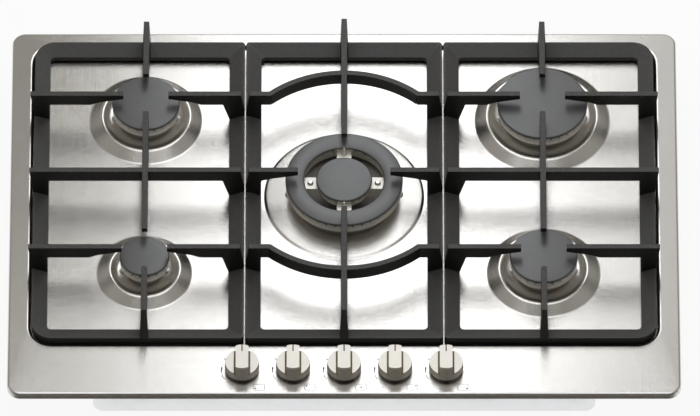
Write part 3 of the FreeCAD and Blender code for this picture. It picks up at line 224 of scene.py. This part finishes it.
# The holes for the knobs' spindles.
drills = []
for x in knob_places:
    bpy.ops.mesh.primitive_cylinder_add(vertices=32, radius=spindle_hole, depth=20 * mm,
                                        location=(x, knob_line, ridge_level))
    bpy.ops.object.transform_apply(location=True, rotation=True, scale=True)
    drills.append(bpy.context.object)
drill = joined("drill", drills)
modified(plate, "BOOLEAN", object=drill, operation="DIFFERENCE", solver="EXACT")
bpy.data.objects.remove(drill)
smoothed(plate)


class Signal:
    """One socket of a finish. Arithmetic on it adds Math nodes; node() adds any other node."""

    def __init__(self, tree, socket=None):
        self.tree = tree
        self.socket = socket

    def node(self, kind, settings=None, inputs=None, output=0):
        made = self.tree.nodes.new(kind)
        for setting, value in (settings or {}).items():
            setattr(made, setting, value)
        for name, value in (inputs or {}).items():
            if isinstance(value, Signal):
                self.tree.links.new(value.socket, made.inputs[name])
            else:
                made.inputs[name].default_value = value
        return Signal(self.tree, made.outputs[output])

    def maths(self, operation, *values):
        return self.node("ShaderNodeMath", {"operation": operation}, dict(enumerate(values)))

    def __add__(self, other):
        return self.maths("ADD", self, other)

    def __radd__(self, other):
        return self.maths("ADD", other, self)

    def __mul__(self, other):
        return self.maths("MULTIPLY", self, other)

    def between(self, low, high):
        """0 below low, 1 above high, smooth in between."""
        return self.node("ShaderNodeMapRange", {"interpolation_type": "SMOOTHSTEP"},
                         {"Value": self, "From Min": low, "From Max": high})

    def tint(self, low, high):
        """One colour where the signal is 0, the other where it is 1. Either may be a signal."""
        ends = [(*end, 1) if isinstance(end, tuple) else end for end in (low, high)]
        return self.node("ShaderNodeMix", {"data_type": "RGBA"},
                         {0: self, 6: ends[0], 7: ends[1]}, 2)

    def noise(self, grains, detail=3.0):
        """Cloudy pattern on these coordinates, with so many grains per metre along x, y and z."""
        stretched = self.node("ShaderNodeMapping", {}, {"Vector": self, "Scale": grains})
        return self.node("ShaderNodeTexNoise", {},
                         {"Vector": stretched, "Scale": 1.0, "Detail": detail})

    def part(self, letter):
        """One of the three numbers of a place or colour, named X, Y or Z."""
        return self.node("ShaderNodeSeparateXYZ", {}, {0: self}, "XYZ".index(letter))


class Finish:
    """A material in the making, with the place on the piece that its patterns follow."""

    def __init__(self, name, **fixed):
        self.material = bpy.data.materials.new(name)
        self.material.use_nodes = True
        self.tree = self.material.node_tree
        self.shader = self.tree.nodes["Principled BSDF"]
        for socket, value in fixed.items():
            self.shader.inputs[socket.replace("_", " ")].default_value = value
        self.place = Signal(self.tree).node("ShaderNodeTexCoord", output="Object")

    def feed(self, socket, signal):
        self.tree.links.new(signal.socket, self.shader.inputs[socket])

    def relief(self, height, depth, width=0.1):
        """Feeds the normal with a bump of this depth in metres, sampled over width in pixels."""
        self.feed("Normal", height.node("ShaderNodeBump", {}, {
            "Height": height, "Distance": depth, "Strength": 1.0, "Filter Width": width}))

    def on(self, *pieces):
        for piece in pieces:
            piece.data.materials.clear()
            piece.data.materials.append(self.material)


# Long scratches from the brushing belt run along x; rolling left faint broad clouds.
steel = Finish("brushed_steel", Metallic=1.0)
clouds = steel.place.noise((3, 9, 9))
streaks = steel.place.noise((7, 520, 520), 4)
scratches = steel.place.noise((120, 20000, 20000), 1)
steel.feed("Base Color", (clouds * 0.6 + streaks * 0.4).tint((0.60, 0.58, 0.55),
                                                             (0.74, 0.72, 0.69)))
steel.feed("Roughness", 0.05 + clouds * 0.03 + streaks * 0.02)
steel.relief(scratches + streaks * 0.1, 0.017 * mm, width=0.01)
steel.on(plate)
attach(plate, "root")
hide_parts("top_plate")

# ---------------------------------------------------------------- casing and seal
# The folded box under the plate is galvanised sheet, screwed up from below; the foam seal
# is glued round the plate's rim. Both are as the solids give them.


def dress(finish, *names):
    """Gives every material slot of these CAD nodes the finish."""
    for name in names:
        for slot in nodes[name].material_slots:
            slot.material = finish.material


zinc = Finish("galvanised_sheet", Metallic=1.0)
spangle = zinc.place.node("ShaderNodeTexVoronoi", {"feature": "F1"},
                          {"Vector": zinc.place, "Scale": 90.0}, "Color").part("X")
zinc.feed("Base Color", (spangle * 0.7 + zinc.place.noise((30, 30, 30)) * 0.3).tint(
    (0.82, 0.83, 0.84), (0.93, 0.935, 0.94)))
zinc.feed("Roughness", 0.3 + spangle * 0.16)
zinc.relief(spangle + zinc.place.noise((900, 900, 900), 2) * 0.4, 0.02 * mm)
dress(zinc, "bottom_casing")

foam = Finish("black_foam")
cells = foam.place.noise((1400, 1400, 1400), 3)
foam.feed("Base Color", cells.tint((0.02, 0.02, 0.021), (0.075, 0.075, 0.075)))
foam.feed("Roughness", 0.85 + cells * 0.1)
foam.relief(cells, 0.5 * mm)
dress(foam, "rim_seal")

# ---------------------------------------------------------------- burner cups, jets and screws
# Each burner cup is a pressure die casting in aluminium, blasted grey, and screwed to the
# plate. A brass jet stands in its middle.

cast = Finish("blasted_casting", Metallic=1.0)
blasting = cast.place.noise((1100, 1100, 1100), 4)
stain = cast.place.noise((26, 26, 26))
cast.feed("Base Color", (stain * 0.6 + blasting * 0.4).tint((0.25, 0.24, 0.22),
                                                           (0.48, 0.46, 0.43)))
cast.feed("Roughness", 0.46 + blasting * 0.22)
cast.relief(blasting, 0.12 * mm)
dress(cast, *[f"burner_cup_{name}" for name in burners])

brass = Finish("turned_brass", Metallic=1.0)
lathe = brass.place.noise((60, 60, 2600), 2)
brass.feed("Base Color", lathe.tint((0.62, 0.45, 0.2), (0.78, 0.6, 0.32)))
brass.feed("Roughness", 0.2 + lathe * 0.16)
brass.relief(lathe, 0.03 * mm)
dress(brass, "gas_jets")

bright = Finish("screw_steel", Metallic=1.0)
wear = bright.place.noise((700, 700, 700), 3)
bright.feed("Base Color", wear.tint((0.5, 0.5, 0.49), (0.72, 0.72, 0.7)))
bright.feed("Roughness", 0.22 + wear * 0.2)
bright.relief(wear, 0.02 * mm)
dress(bright, "cup_screws", "crown_screws")

# ---------------------------------------------------------------- flame crowns
# The crowns carry the flame ports. They are aluminium castings, dulled by a chalky oxide and
# straw-coloured by the flame. Each is a merged copy of its solid with soft edges.

crown = Finish("flame_crown_metal", Metallic=0.35)
pores = crown.place.noise((1500, 1500, 1500), 4)
heat = crown.place.noise((45, 45, 90))
crown.feed("Base Color", (heat * 0.7 + pores * 0.3).tint((0.68, 0.64, 0.56),
                                                         (0.90, 0.88, 0.82)))
crown.feed("Roughness", 0.26 + pores * 0.16)
crown.relief(pores, 0.08 * mm)


def softened(name, node, width, segments=2, angle=28, cutter=None):
    """A merged copy of a CAD node, with its sharp edges rounded off after any cut."""
    bpy.ops.object.select_all(action="DESELECT")
    piece = nodes[node].copy()
    piece.data = nodes[node].data.copy()
    piece.parent = None
    piece.matrix_world = nodes[node].matrix_world
    bpy.context.collection.objects.link(piece)
    piece.select_set(True)
    bpy.context.view_layer.objects.active = piece
    if piece.data.has_custom_normals:
        bpy.ops.mesh.customdata_custom_splitnormals_clear()
    named(name)
    bpy.ops.mesh.select_all(action="SELECT")
    bpy.ops.mesh.remove_doubles(threshold=0.005 * mm)
    bpy.ops.mesh.dissolve_limited(angle_limit=math.radians(0.5))
    bpy.ops.object.mode_set(mode="OBJECT")
    if cutter:
        modified(piece, "BOOLEAN", object=cutter, operation="DIFFERENCE", solver="EXACT")
        bpy.data.objects.remove(cutter)
    modified(piece, "BEVEL", width=width, segments=segments, limit_method="ANGLE",
             angle_limit=math.radians(angle), use_clamp_overlap=True,
             miter_outer="MITER_ARC")
    smoothed(piece, 35)
    return piece


for name in burners:
    ported = softened(f"crown_casting_{name}", f"flame_crown_{name}", 0.3 * mm)
    crown.on(ported)
    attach(ported, f"crown_{name}")
    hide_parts(f"flame_crown_{name}")

# ---------------------------------------------------------------- burner caps
# Pressed steel caps, domed and coated in matt slate enamel. They lie loose on the crowns,
# and a ring under each finds its place. Every cap is spun from its half section.

enamel = Finish("slate_enamel", Specular_IOR_Level=1.0)
grit = enamel.place.noise((1500, 1500, 1500), 3)
mottle = enamel.place.noise((60, 60, 60))
enamel.feed("Base Color", (mottle * 0.7 + grit * 0.3).tint((0.044, 0.045, 0.046),
                                                           (0.078, 0.078, 0.079)))
enamel.feed("Roughness", 0.3 + grit * 0.12)
enamel.relief(grit, 0.03 * mm)

cap_foot = floor_level + 28.3 * mm
cap_top = cap_foot + 3.2 * mm
cap_dome = 1 * mm
dome_steps = 8
cap_chamfer = 0.8 * mm
crown_inset = 0.5 * mm
crown_wall = 4.5 * mm
register_gap = 1 * mm
register_drop = 2.5 * mm
register_width = 3 * mm


def cap_rim(radius, outwards=1):
    """Section of a cap's edge from above, where outwards is -1 round a hole."""
    curve = [(1.1 * mm, 0.15 * mm), (0.4 * mm, 0.6 * mm), (0, 1.2 * mm)]
    return ([(radius - outwards * run, cap_top - drop) for run, drop in curve]
            + [(radius, cap_foot + cap_chamfer), (radius - outwards * cap_chamfer, cap_foot)])


def cap_register(radius):
    """Section of the ring under a cap, which drops into the crown."""
    inner = radius - register_width
    return [(radius, cap_foot), (radius, cap_foot - register_drop),
            (inner, cap_foot - register_drop), (inner, cap_foot)]


def cap_section(radius, register):
    """Half section of a round cap: a low dome, the rim and the ring under it."""
    dome = [(radius * step / dome_steps, cap_top + cap_dome * (1 - (step / dome_steps) ** 2))
            for step in range(dome_steps - 1)]
    shoulder = [(radius - 1.6 * mm, cap_top - 0.05 * mm)]
    return dome + shoulder + cap_rim(radius) + cap_register(register) + [(0, cap_foot)]


def cap_piece(name, node, body, x, y, section):
    """A cap in its enamel, which stands for its node and rides on its own body."""
    piece = turned(name, x, y, section)
    smoothed(piece, 32)
    enamel.on(piece)
    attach(piece, body)
    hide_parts(node)


for name, (x, y, cap) in burners.items():
    if name == "middle":
        continue
    section = cap_section(cap, cap - crown_inset - crown_wall - register_gap)
    cap_piece(f"cap_enamel_{name}", f"cap_{name}", f"burner_cap_{name}", x, y, section)

# ---------------------------------------------------------------- spark plugs and sensors
# A glazed ceramic tube with a steel tip gives the spark; the sensor is a plain metal tube.
# The glaze is sooty near the flame, and both keep the shape of their solids.

glaze = Finish("glazed_ceramic", Roughness=0.2)
crackle = glaze.place.noise((500, 500, 500), 2)
soot = glaze.place.part("Z").between(68 * mm, 77 * mm) * glaze.place.noise((260, 260, 260), 3)
glaze.feed("Base Color", soot.tint(crackle.tint((0.80, 0.79, 0.74), (0.88, 0.87, 0.84)),
                                   (0.42, 0.38, 0.33)))
glaze.feed("Roughness", 0.16 + crackle * 0.14)
glaze.relief(crackle, 0.02 * mm)
dress(glaze, "spark_plugs")

sensor = Finish("sensor_tube", Metallic=1.0)
blueing = sensor.place.noise((180, 180, 420), 2)
sensor.feed("Base Color", blueing.tint((0.45, 0.42, 0.36), (0.68, 0.65, 0.6)))
sensor.feed("Roughness", 0.26 + blueing * 0.2)
sensor.relief(blueing, 0.02 * mm)
dress(sensor, "flame_sensors")

# In the middle burner the points of the plug and the sensor stand clear of the crown.
nickel = Finish("electrode_nickel", Metallic=0.6)
burnish = nickel.place.noise((900, 900, 900), 3)
nickel.feed("Base Color", burnish.tint((0.78, 0.77, 0.74), (0.92, 0.91, 0.88)))
nickel.feed("Roughness", 0.28 + burnish * 0.2)
nickel.relief(burnish, 0.02 * mm)
middle_x, middle_y, ring_radius = burners["middle"]
point_foot = 75 * mm
point_top = 84.4 * mm
point_profile = [(0, point_foot), (1.8 * mm, point_foot), (1.5 * mm, point_foot + 3 * mm),
                 (0.8 * mm, point_top - 0.4 * mm), (0, point_top)]
point_reaches = {"spark_point_middle": 41 * mm, "sensor_point_middle": -35.2 * mm}
for name, reach in point_reaches.items():
    point = turned(name, middle_x, middle_y + reach, point_profile, 24)
    smoothed(point, 40)
    nickel.on(point)
    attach(point, "root")

# ---------------------------------------------------------------- taps, spindles and boots
# Die-cast aluminium tap bodies stand under the plate with a ground brass cone in each, and
# a steel spindle comes up through a rubber boot into the knob.

tap_metal = Finish("tap_casting", Metallic=1.0)
skin = tap_metal.place.noise((800, 800, 800), 4)
tap_metal.feed("Base Color", skin.tint((0.42, 0.42, 0.4), (0.62, 0.62, 0.6)))
tap_metal.feed("Roughness", 0.38 + skin * 0.2)
tap_metal.relief(skin, 0.08 * mm)
dress(tap_metal, *[f"tap_body_{number}" for number in range(1, 6)])
dress(brass, *[f"tap_plug_{number}" for number in range(1, 6)])
dress(bright, *[f"spindle_{number}" for number in range(1, 6)])

rubber = Finish("black_rubber", Specular_IOR_Level=0.3)
bloom = rubber.place.noise((420, 420, 420), 3)
rubber.feed("Base Color", bloom.tint((0.018, 0.018, 0.019), (0.05, 0.05, 0.05)))
rubber.feed("Roughness", 0.68 + bloom * 0.2)
rubber.relief(bloom, 0.05 * mm)
dress(rubber, "spindle_boots", "support_feet_left", "support_feet_middle",
      "support_feet_right")

# ---------------------------------------------------------------- gas rail, inlet and pipes
# The rail is galvanised tube, the feed pipes soft aluminium tube bent by hand.

tube = Finish("rail_tube", Metallic=1.0)
drawn = tube.place.noise((120, 900, 900), 3)
tube.feed("Base Color", drawn.tint((0.42, 0.43, 0.44), (0.6, 0.61, 0.62)))
tube.feed("Roughness", 0.3 + drawn * 0.2)
tube.relief(drawn, 0.04 * mm)
dress(tube, "gas_rail", "gas_inlet")

pipe = Finish("aluminium_pipe", Metallic=1.0)
handling = pipe.place.noise((160, 160, 160), 4)
pipe.feed("Base Color", handling.tint((0.6, 0.6, 0.59), (0.78, 0.78, 0.77)))
pipe.feed("Roughness", 0.26 + handling * 0.18)
pipe.relief(handling, 0.03 * mm)
dress(pipe, *[f"feed_pipe_{name}" for name in burners])

# ---------------------------------------------------------------- spark unit and mains gland
# The spark unit is a sealed box of pale plastic; the black gland holds the mains lead.

pale = Finish("unit_plastic")
mould = pale.place.noise((900, 900, 900), 3)
pale.feed("Base Color", mould.tint((0.66, 0.66, 0.63), (0.76, 0.76, 0.73)))
pale.feed("Roughness", 0.48 + mould * 0.18)
pale.relief(mould, 0.04 * mm)
dress(pale, "spark_unit")

black = Finish("gland_plastic")
texture = black.place.noise((900, 900, 900), 3)
black.feed("Base Color", texture.tint((0.03, 0.03, 0.03), (0.055, 0.055, 0.055)))
black.feed("Roughness", 0.42 + texture * 0.18)
black.relief(texture, 0.04 * mm)
dress(black, "mains_gland")

# ---------------------------------------------------------------- triple crown's caps
# The middle burner has two caps: a ring over the outer flame and a small one in its core.

ring_hole = 44 * mm
ring_register = 59 * mm
core_radius = 31 * mm
core_register = 23 * mm
ring_dome = [(ring_hole + 1.8 * mm, cap_top), (ring_hole + 6 * mm, cap_top + 0.75 * mm),
             (ring_hole + 10.5 * mm, cap_top + 0.95 * mm),
             (ring_radius - 6 * mm, cap_top + 0.75 * mm), (ring_radius - 1.8 * mm, cap_top)]
chamfer_foot, *hole_side = reversed(cap_rim(ring_hole, -1))
ring_section = (hole_side + ring_dome + cap_rim(ring_radius) + cap_register(ring_register)
                + [chamfer_foot, hole_side[0]])
cap_piece("cap_enamel_ring", "ring_cap_middle", "ring_cap", middle_x, middle_y, ring_section)
core_section = cap_section(core_radius, core_register)
cap_piece("cap_enamel_core", "core_cap_middle", "core_cap", middle_x, middle_y, core_section)

# ---------------------------------------------------------------- knobs
# Turned and milled aluminium knobs with a grip across each, blasted fine and anodised in
# a pale champagne. A groove runs along each side of the grip, its faces painted a dark
# olive-brown as shade, and the line on the grip is filled black.

champagne = Finish("champagne_anodised", Metallic=1.0)
satin = champagne.place.noise((1600, 1600, 1600), 3)
depth = champagne.place.noise((60, 60, 60))
champagne.feed("Base Color", (depth * 0.5 + satin * 0.5).tint((0.61, 0.58, 0.525),
                                                              (0.73, 0.705, 0.655)))
champagne.feed("Roughness", 0.4 + satin * 0.12)
champagne.relief(satin, 0.04 * mm)
# The groove finish is painted shade: a dark olive-brown that stands for the shade in the recess.
groove_shade = Finish("groove_painted_shade", Metallic=1.0)
shade_mottle = groove_shade.place.noise((700, 700, 700), 3)
groove_shade.feed("Base Color", shade_mottle.tint((0.10, 0.08, 0.04), (0.22, 0.18, 0.11)))
groove_shade.feed("Roughness", 0.42 + shade_mottle * 0.16)
groove_shade.relief(shade_mottle, 0.03 * mm)

ink = Finish("black_ink", Specular_IOR_Level=0.3)
print_grain = ink.place.noise((2200, 2200, 2200), 2)
ink.feed("Base Color", print_grain.tint((0.012, 0.011, 0.011), (0.03, 0.028, 0.027)))
ink.feed("Roughness", 0.5 + print_grain * 0.2)
ink.relief(print_grain, 0.01 * mm)


def second_finish(piece, finish, choose):
    """Gives another finish to the faces whose middle choose() takes."""
    piece.data.materials.append(finish.material)
    for face in piece.data.polygons:
        if choose(face.center):
            face.material_index = len(piece.data.materials) - 1


disc_top = 67.75 * mm
grip_half = 7 * mm
grip_top = 77.75 * mm
groove_width = 2 * mm
groove_depth = 1.8 * mm
groove_reach = 18 * mm
groove_inner = grip_half - 0.3 * mm
groove_outer = grip_half + groove_width + 0.2 * mm
groove_floor = disc_top - groove_depth - 0.1 * mm
groove_brim = disc_top - 0.1 * mm
cutter_length = 60 * mm
line_half = 1.1 * mm
line_start = 5 * mm
line_floor = grip_top - 0.9 * mm
line_brim = grip_top - 0.02 * mm
for number, x in enumerate(knob_places, start=1):
    cutters = []
    for side in (-1, 1):
        bpy.ops.mesh.primitive_cube_add(size=1, location=(
            x + side * (grip_half + groove_width / 2), knob_line, disc_top))
        cutter = bpy.context.object
        cutter.scale = (groove_width, cutter_length, groove_depth * 2)
        bpy.ops.object.transform_apply(location=True, rotation=True, scale=True)
        cutters.append(cutter)
    knob = softened(f"knob_metal_{number}", f"knob_{number}", 0.35 * mm,
                    cutter=joined("groove_cutter", cutters))
    champagne.on(knob)
    # The faces inside each groove get the painted shade.
    second_finish(knob, groove_shade, lambda middle:
                  groove_inner < abs(middle.x - x) < groove_outer
                  and groove_floor < middle.z < groove_brim
                  and abs(middle.y - knob_line) < groove_reach)
    second_finish(knob, ink, lambda middle:
                  abs(middle.x - x) < line_half and middle.y > knob_line + line_start
                  and line_floor < middle.z < line_brim)
    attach(knob, f"knob_set_{number}")
    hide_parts(f"knob_{number}")

# ---------------------------------------------------------------- printed marks
# Fired-on marks beside each knob: a tick for off, a dot and a narrowing arc from high to
# low, and a small outline of the hob with a dot where the knob's burner is.

ink_height = 0.05 * mm


def border_level(y):
    """Height of the front border, which climbs from the rolled edge to the ridge."""
    edge_level = roll_level + roll_height
    climbed = (y + half_depth - roll_width) / (border_front - roll_width)
    return edge_level + climbed * (ridge_level - edge_level)


def printed_dot(x, y, radius):
    """A round dot as thin as ink."""
    bpy.ops.mesh.primitive_cylinder_add(vertices=20, radius=radius, depth=ink_height,
                                        location=(x, y, 0))
    bpy.ops.object.transform_apply(location=True, rotation=True, scale=True)
    return bpy.context.object


def printed_arc(x, y, radius, start, sweep, width):
    """A short arc: its cross-section spun round the knob's axis, with angles in degrees."""
    bpy.ops.mesh.primitive_plane_add(size=1, location=(0, 0, 0))
    arc = named("arc")
    bpy.ops.mesh.select_all(action="SELECT")
    bpy.ops.transform.resize(value=(width, ink_height, 1))
    bpy.ops.mesh.select_mode(type="FACE")
    bpy.ops.transform.rotate(value=-math.pi / 2, orient_axis="X", center_override=(0, 0, 0))
    bpy.ops.transform.translate(value=(radius, 0, 0))
    bpy.ops.transform.rotate(value=-math.radians(start), orient_axis="Z",
                             center_override=(0, 0, 0))
    bpy.ops.transform.translate(value=(x, y, 0))
    bpy.ops.mesh.spin(steps=8, angle=math.radians(sweep), center=(x, y, 0), axis=(0, 0, 1))
    bpy.ops.mesh.select_all(action="SELECT")
    bpy.ops.mesh.normals_make_consistent(inside=False)
    bpy.ops.object.mode_set(mode="OBJECT")
    return arc


def printed_frame(x, y, width, depth, corner, line):
    """An outline of the hob: a rounded plane, inset, with its middle taken out."""
    bpy.ops.mesh.primitive_plane_add(size=1, location=(x, y, ink_height / 2))
    outline = bpy.context.object
    outline.scale = (width, depth, 1)
    bpy.ops.object.transform_apply(location=True, rotation=True, scale=True)
    named("outline")
    bpy.ops.mesh.select_all(action="SELECT")
    bpy.ops.mesh.bevel(offset=corner, affect="VERTICES", segments=5)
    bpy.ops.mesh.select_mode(type="FACE")
    bpy.ops.mesh.select_all(action="SELECT")
    bpy.ops.mesh.inset(thickness=line)
    bpy.ops.mesh.delete(type="FACE")
    bpy.ops.object.mode_set(mode="OBJECT")
    modified(outline, "SOLIDIFY", thickness=ink_height, offset=-1)
    return outline


# Arcs, in millimetres and degrees: radius, start, sweep and width of the stroke.
off_tick = (23, 145.3, 2.6, 3)
high_arc = (22.6, 192, 20, 1.1)
low_arc = (23.5, 216, 18, 0.7)
# Dots, in millimetres from the knob's axis: right, back and radius.
high_dots = [(-22.3, 1.3, 1), (-21.8, 5.7, 0.5)]
low_dot = (-7.4, -27, 0.6)
# The small outline of the hob, with the dot that stands for the burner.
plan_right = 18.8 * mm
plan_back = -24.6 * mm
plan_width = 12.4 * mm
plan_depth = 8.8 * mm
plan_corner = 1.6 * mm
plan_line = 0.45 * mm
plan_dot = 0.95 * mm
dot_across = 4 * mm
dot_along = 1.8 * mm
burner_corners = [(-1, -1), (-1, 1), (0, 0), (1, 1), (1, -1)]


def knob_arc(knob_x, radius, start, sweep, width):
    """One of the arcs round a knob."""
    return printed_arc(knob_x, knob_line, radius * mm, start, sweep, width * mm)


def knob_dot(knob_x, right, back, radius):
    """One of the dots round a knob."""
    return printed_dot(knob_x + right * mm, knob_line + back * mm, radius * mm)


for number, (x, (across, along)) in enumerate(zip(knob_places, burner_corners), start=1):
    plan_x, plan_y = x + plan_right, knob_line + plan_back
    marks = [knob_arc(x, *off_tick)]
    marks += [knob_dot(x, *dot) for dot in high_dots]
    marks += [knob_arc(x, *high_arc), knob_arc(x, *low_arc), knob_dot(x, *low_dot)]
    marks.append(printed_frame(plan_x, plan_y, plan_width, plan_depth, plan_corner,
                               plan_line))
    marks.append(printed_dot(plan_x + across * dot_across, plan_y + along * dot_along, plan_dot))
    marks = joined(f"printed_marks_{number}", marks)
    for corner in marks.data.vertices:
        corner.co.z += border_level(corner.co.y) + ink_height / 2
    ink.on(marks)
    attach(marks, "root")
    bpy.ops.object.select_all(action="DESELECT")

# ---------------------------------------------------------------- pan supports
# Three grids of cast iron, shot-blasted and enamelled in matt black. The sand mould leaves
# a fine grain, faces that look up are painted lighter and the others painted darker as light
# and shade, and the top edges wear where pans slide.

iron = Finish("enamelled_cast_iron", Specular_IOR_Level=0.4)
grain = iron.place.noise((650, 650, 650), 4)
lumps = iron.place.noise((180, 180, 180), 3)
# Painted light: faces that look up get lighter tones and all other faces far darker ones, as lit
# tops and shaded sides.
painted_top_light = iron.place.node("ShaderNodeAttribute", {"attribute_name": "painted_top_light"}, output="Fac")
scuffs = iron.place.noise((420, 420, 420), 4).between(0.54, 0.70)
worn = iron.place.part("Z").between(93 * mm, 98 * mm) * scuffs * 0.4
mix = grain * 0.7 + lumps * 0.3
# Tops take the lighter pair of tones and other faces the painted-shade pair; worn tops are lighter
# still.
iron.feed("Base Color", worn.tint(painted_top_light.between(0.1, 0.6).tint(
    mix.tint((0.003, 0.003, 0.003), (0.014, 0.013, 0.012)),
    mix.tint((0.028, 0.027, 0.026), (0.085, 0.082, 0.079))), (0.17, 0.165, 0.16)))
iron.feed("Roughness", 0.38 + grain * 0.2)
iron.relief(grain + lumps * 0.6, 0.45 * mm)
for side in ("left", "middle", "right"):
    grid = softened(f"pan_grid_{side}", f"pan_support_{side}", 0.8 * mm, 3, 20)
    # Each face's painted light is how far its normal points up.
    painted_light_layer = grid.data.attributes.new("painted_top_light", "FLOAT", "FACE")
    for face, top_lightness in zip(grid.data.polygons, painted_light_layer.data):
        top_lightness.value = max(0, face.normal.z)
    iron.on(grid)
    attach(grid, f"support_{side}")
    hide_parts(f"pan_support_{side}")

# ---------------------------------------------------------------- floor, light and camera
# A white floor, three softboxes behind the hob that the steel mirrors, a dark cloth and a
# dark flag in front for its shaded sides, a softbox overhead, and a camera far off.

floor_size = 60
floor_drop = 0.4 * mm
floor_glow = 0.92
bpy.ops.mesh.primitive_plane_add(size=floor_size, location=(0, 0, -floor_drop))
floor = bpy.context.object
floor.name = "studio_floor"
paper = Finish("white_paper", Base_Color=(0.9, 0.9, 0.9, 1), Roughness=0.9,
               Specular_IOR_Level=0.0)
rays = Signal(paper.tree)
seen = (rays.node("ShaderNodeLightPath", output="Is Camera Ray")
        + rays.node("ShaderNodeLightPath", output="Is Glossy Ray")
        + rays.node("ShaderNodeLightPath", output="Is Transmission Ray"))
white = rays.node("ShaderNodeEmission", {}, {"Color": (1, 1, 1, 1), "Strength": 1.0})
mixed = rays.node("ShaderNodeMixShader", {},
                  {0: seen.maths("MINIMUM", seen, 1.0) * floor_glow,
                   1: Signal(paper.tree, paper.shader.outputs[0]), 2: white})
output = paper.tree.nodes["Material Output"]
paper.tree.links.new(mixed.socket, output.inputs["Surface"])
paper.on(floor)

world = bpy.data.worlds.new("studio_air")
bpy.context.scene.world = world
world.use_nodes = True
world.node_tree.nodes["Background"].inputs["Color"].default_value = (0.37, 0.36, 0.335, 1)

daylight = (0.965, 0.99, 1.03)


def softbox(name, place, aim, width, height, radiance):
    """An area lamp of even radiance, facing a point of the hob."""
    lamp = bpy.data.lights.new(name, "AREA")
    lamp.shape = "RECTANGLE"
    lamp.color = daylight
    lamp.size = width
    lamp.size_y = height
    lamp.energy = radiance * math.pi * width * height
    holder = bpy.data.objects.new(name, lamp)
    bpy.context.collection.objects.link(holder)
    away = [a - b for a, b in zip(place, aim)]
    flat = math.hypot(away[0], away[1])
    holder.location = place
    holder.rotation_euler = (math.atan2(flat, away[2]), 0, math.atan2(away[0], -away[1]))
    holder.visible_camera = False


# Each window stands where the plate, seen at the camera's tilt, mirrors it at mirror_y and
# mirror_z, and slides up or down in its own plane. The table gives its left and right edge,
# its rise and its height in metres, then its radiance.
tilt = math.radians(51.5)
window_distance = 1.3
mirror_y, mirror_z = 0.03, 0.05
windows = {
    "window_main": (-0.2, 0.25, -0.06, 1.2, 2.2),
    "window_side": (0.25, 0.75, -0.06, 1.2, 0.42),
    "window_left": (-0.8, -0.2, 0.55, 0.5, 0.55),
}
for name, (left, right, rise, height, radiance) in windows.items():
    middle = (left + right) / 2
    slide_y, slide_z = -rise * math.sin(tilt), rise * math.cos(tilt)
    place = (middle, mirror_y + window_distance * math.cos(tilt) + slide_y,
             mirror_z + window_distance * math.sin(tilt) + slide_z)
    aim = (middle, mirror_y + slide_y, mirror_z + slide_z)
    softbox(name, place, aim, right - left, height, radiance)


def dark_plane(name, width, depth, place, turn, cloth_name, colour):
    """A plane of dark cloth, hidden from the camera and from shadow rays."""
    bpy.ops.mesh.primitive_plane_add(size=1, location=place, rotation=(turn, 0, 0))
    plane = bpy.context.object
    plane.name = name
    plane.scale = (width, depth, 1)
    bpy.ops.object.transform_apply(location=True, rotation=True, scale=True)
    weave = Finish(cloth_name, Base_Color=(*colour, 1), Roughness=1.0, Specular_IOR_Level=0.0)
    weave.on(plane)
    plane.visible_camera = False
    plane.visible_shadow = False
    return plane


# The cloth on the floor in front gives the lip its darker line, and takes no soft light.
cloth = dark_plane("dark_cloth", 1.4, 0.42, (0, -0.48, 0.2 * mm), 0,
                   "grey_felt", (0.24, 0.22, 0.19))
cloth.visible_diffuse = False
# The flag stands far in front and shades the sides that face the camera.
flag = dark_plane("dark_flag", 4, 1.5, (0, -1.6, 0.75), math.pi / 2,
                  "black_velvet", (0.05, 0.048, 0.045))
# The overhead softbox lights the knobs, the caps and the tops of the bars.
softbox("overhead", (0, -0.2, 1.7), (0, -0.2, 0.05), 1.6, 0.9, 1.3)

# The camera looks down at the photograph's angle, from so far off that lines stay parallel.
aim = (6.5 * mm, 8.9 * mm, 50 * mm)
distance = 18
view_width = 774.9 * mm
sensor_width = 36
lens = bpy.data.cameras.new("photo_camera")
lens.sensor_width = sensor_width
lens.lens = sensor_width * distance / view_width
lens.clip_end = 60
camera = bpy.data.objects.new("photo_camera", lens)
bpy.context.collection.objects.link(camera)
camera.location = (aim[0], aim[1] - distance * math.cos(tilt), aim[2] + distance * math.sin(tilt))
camera.rotation_euler = (math.pi / 2 - tilt, 0, 0)
bpy.context.scene.camera = camera
bpy.context.scene.view_settings.view_transform = "Standard"
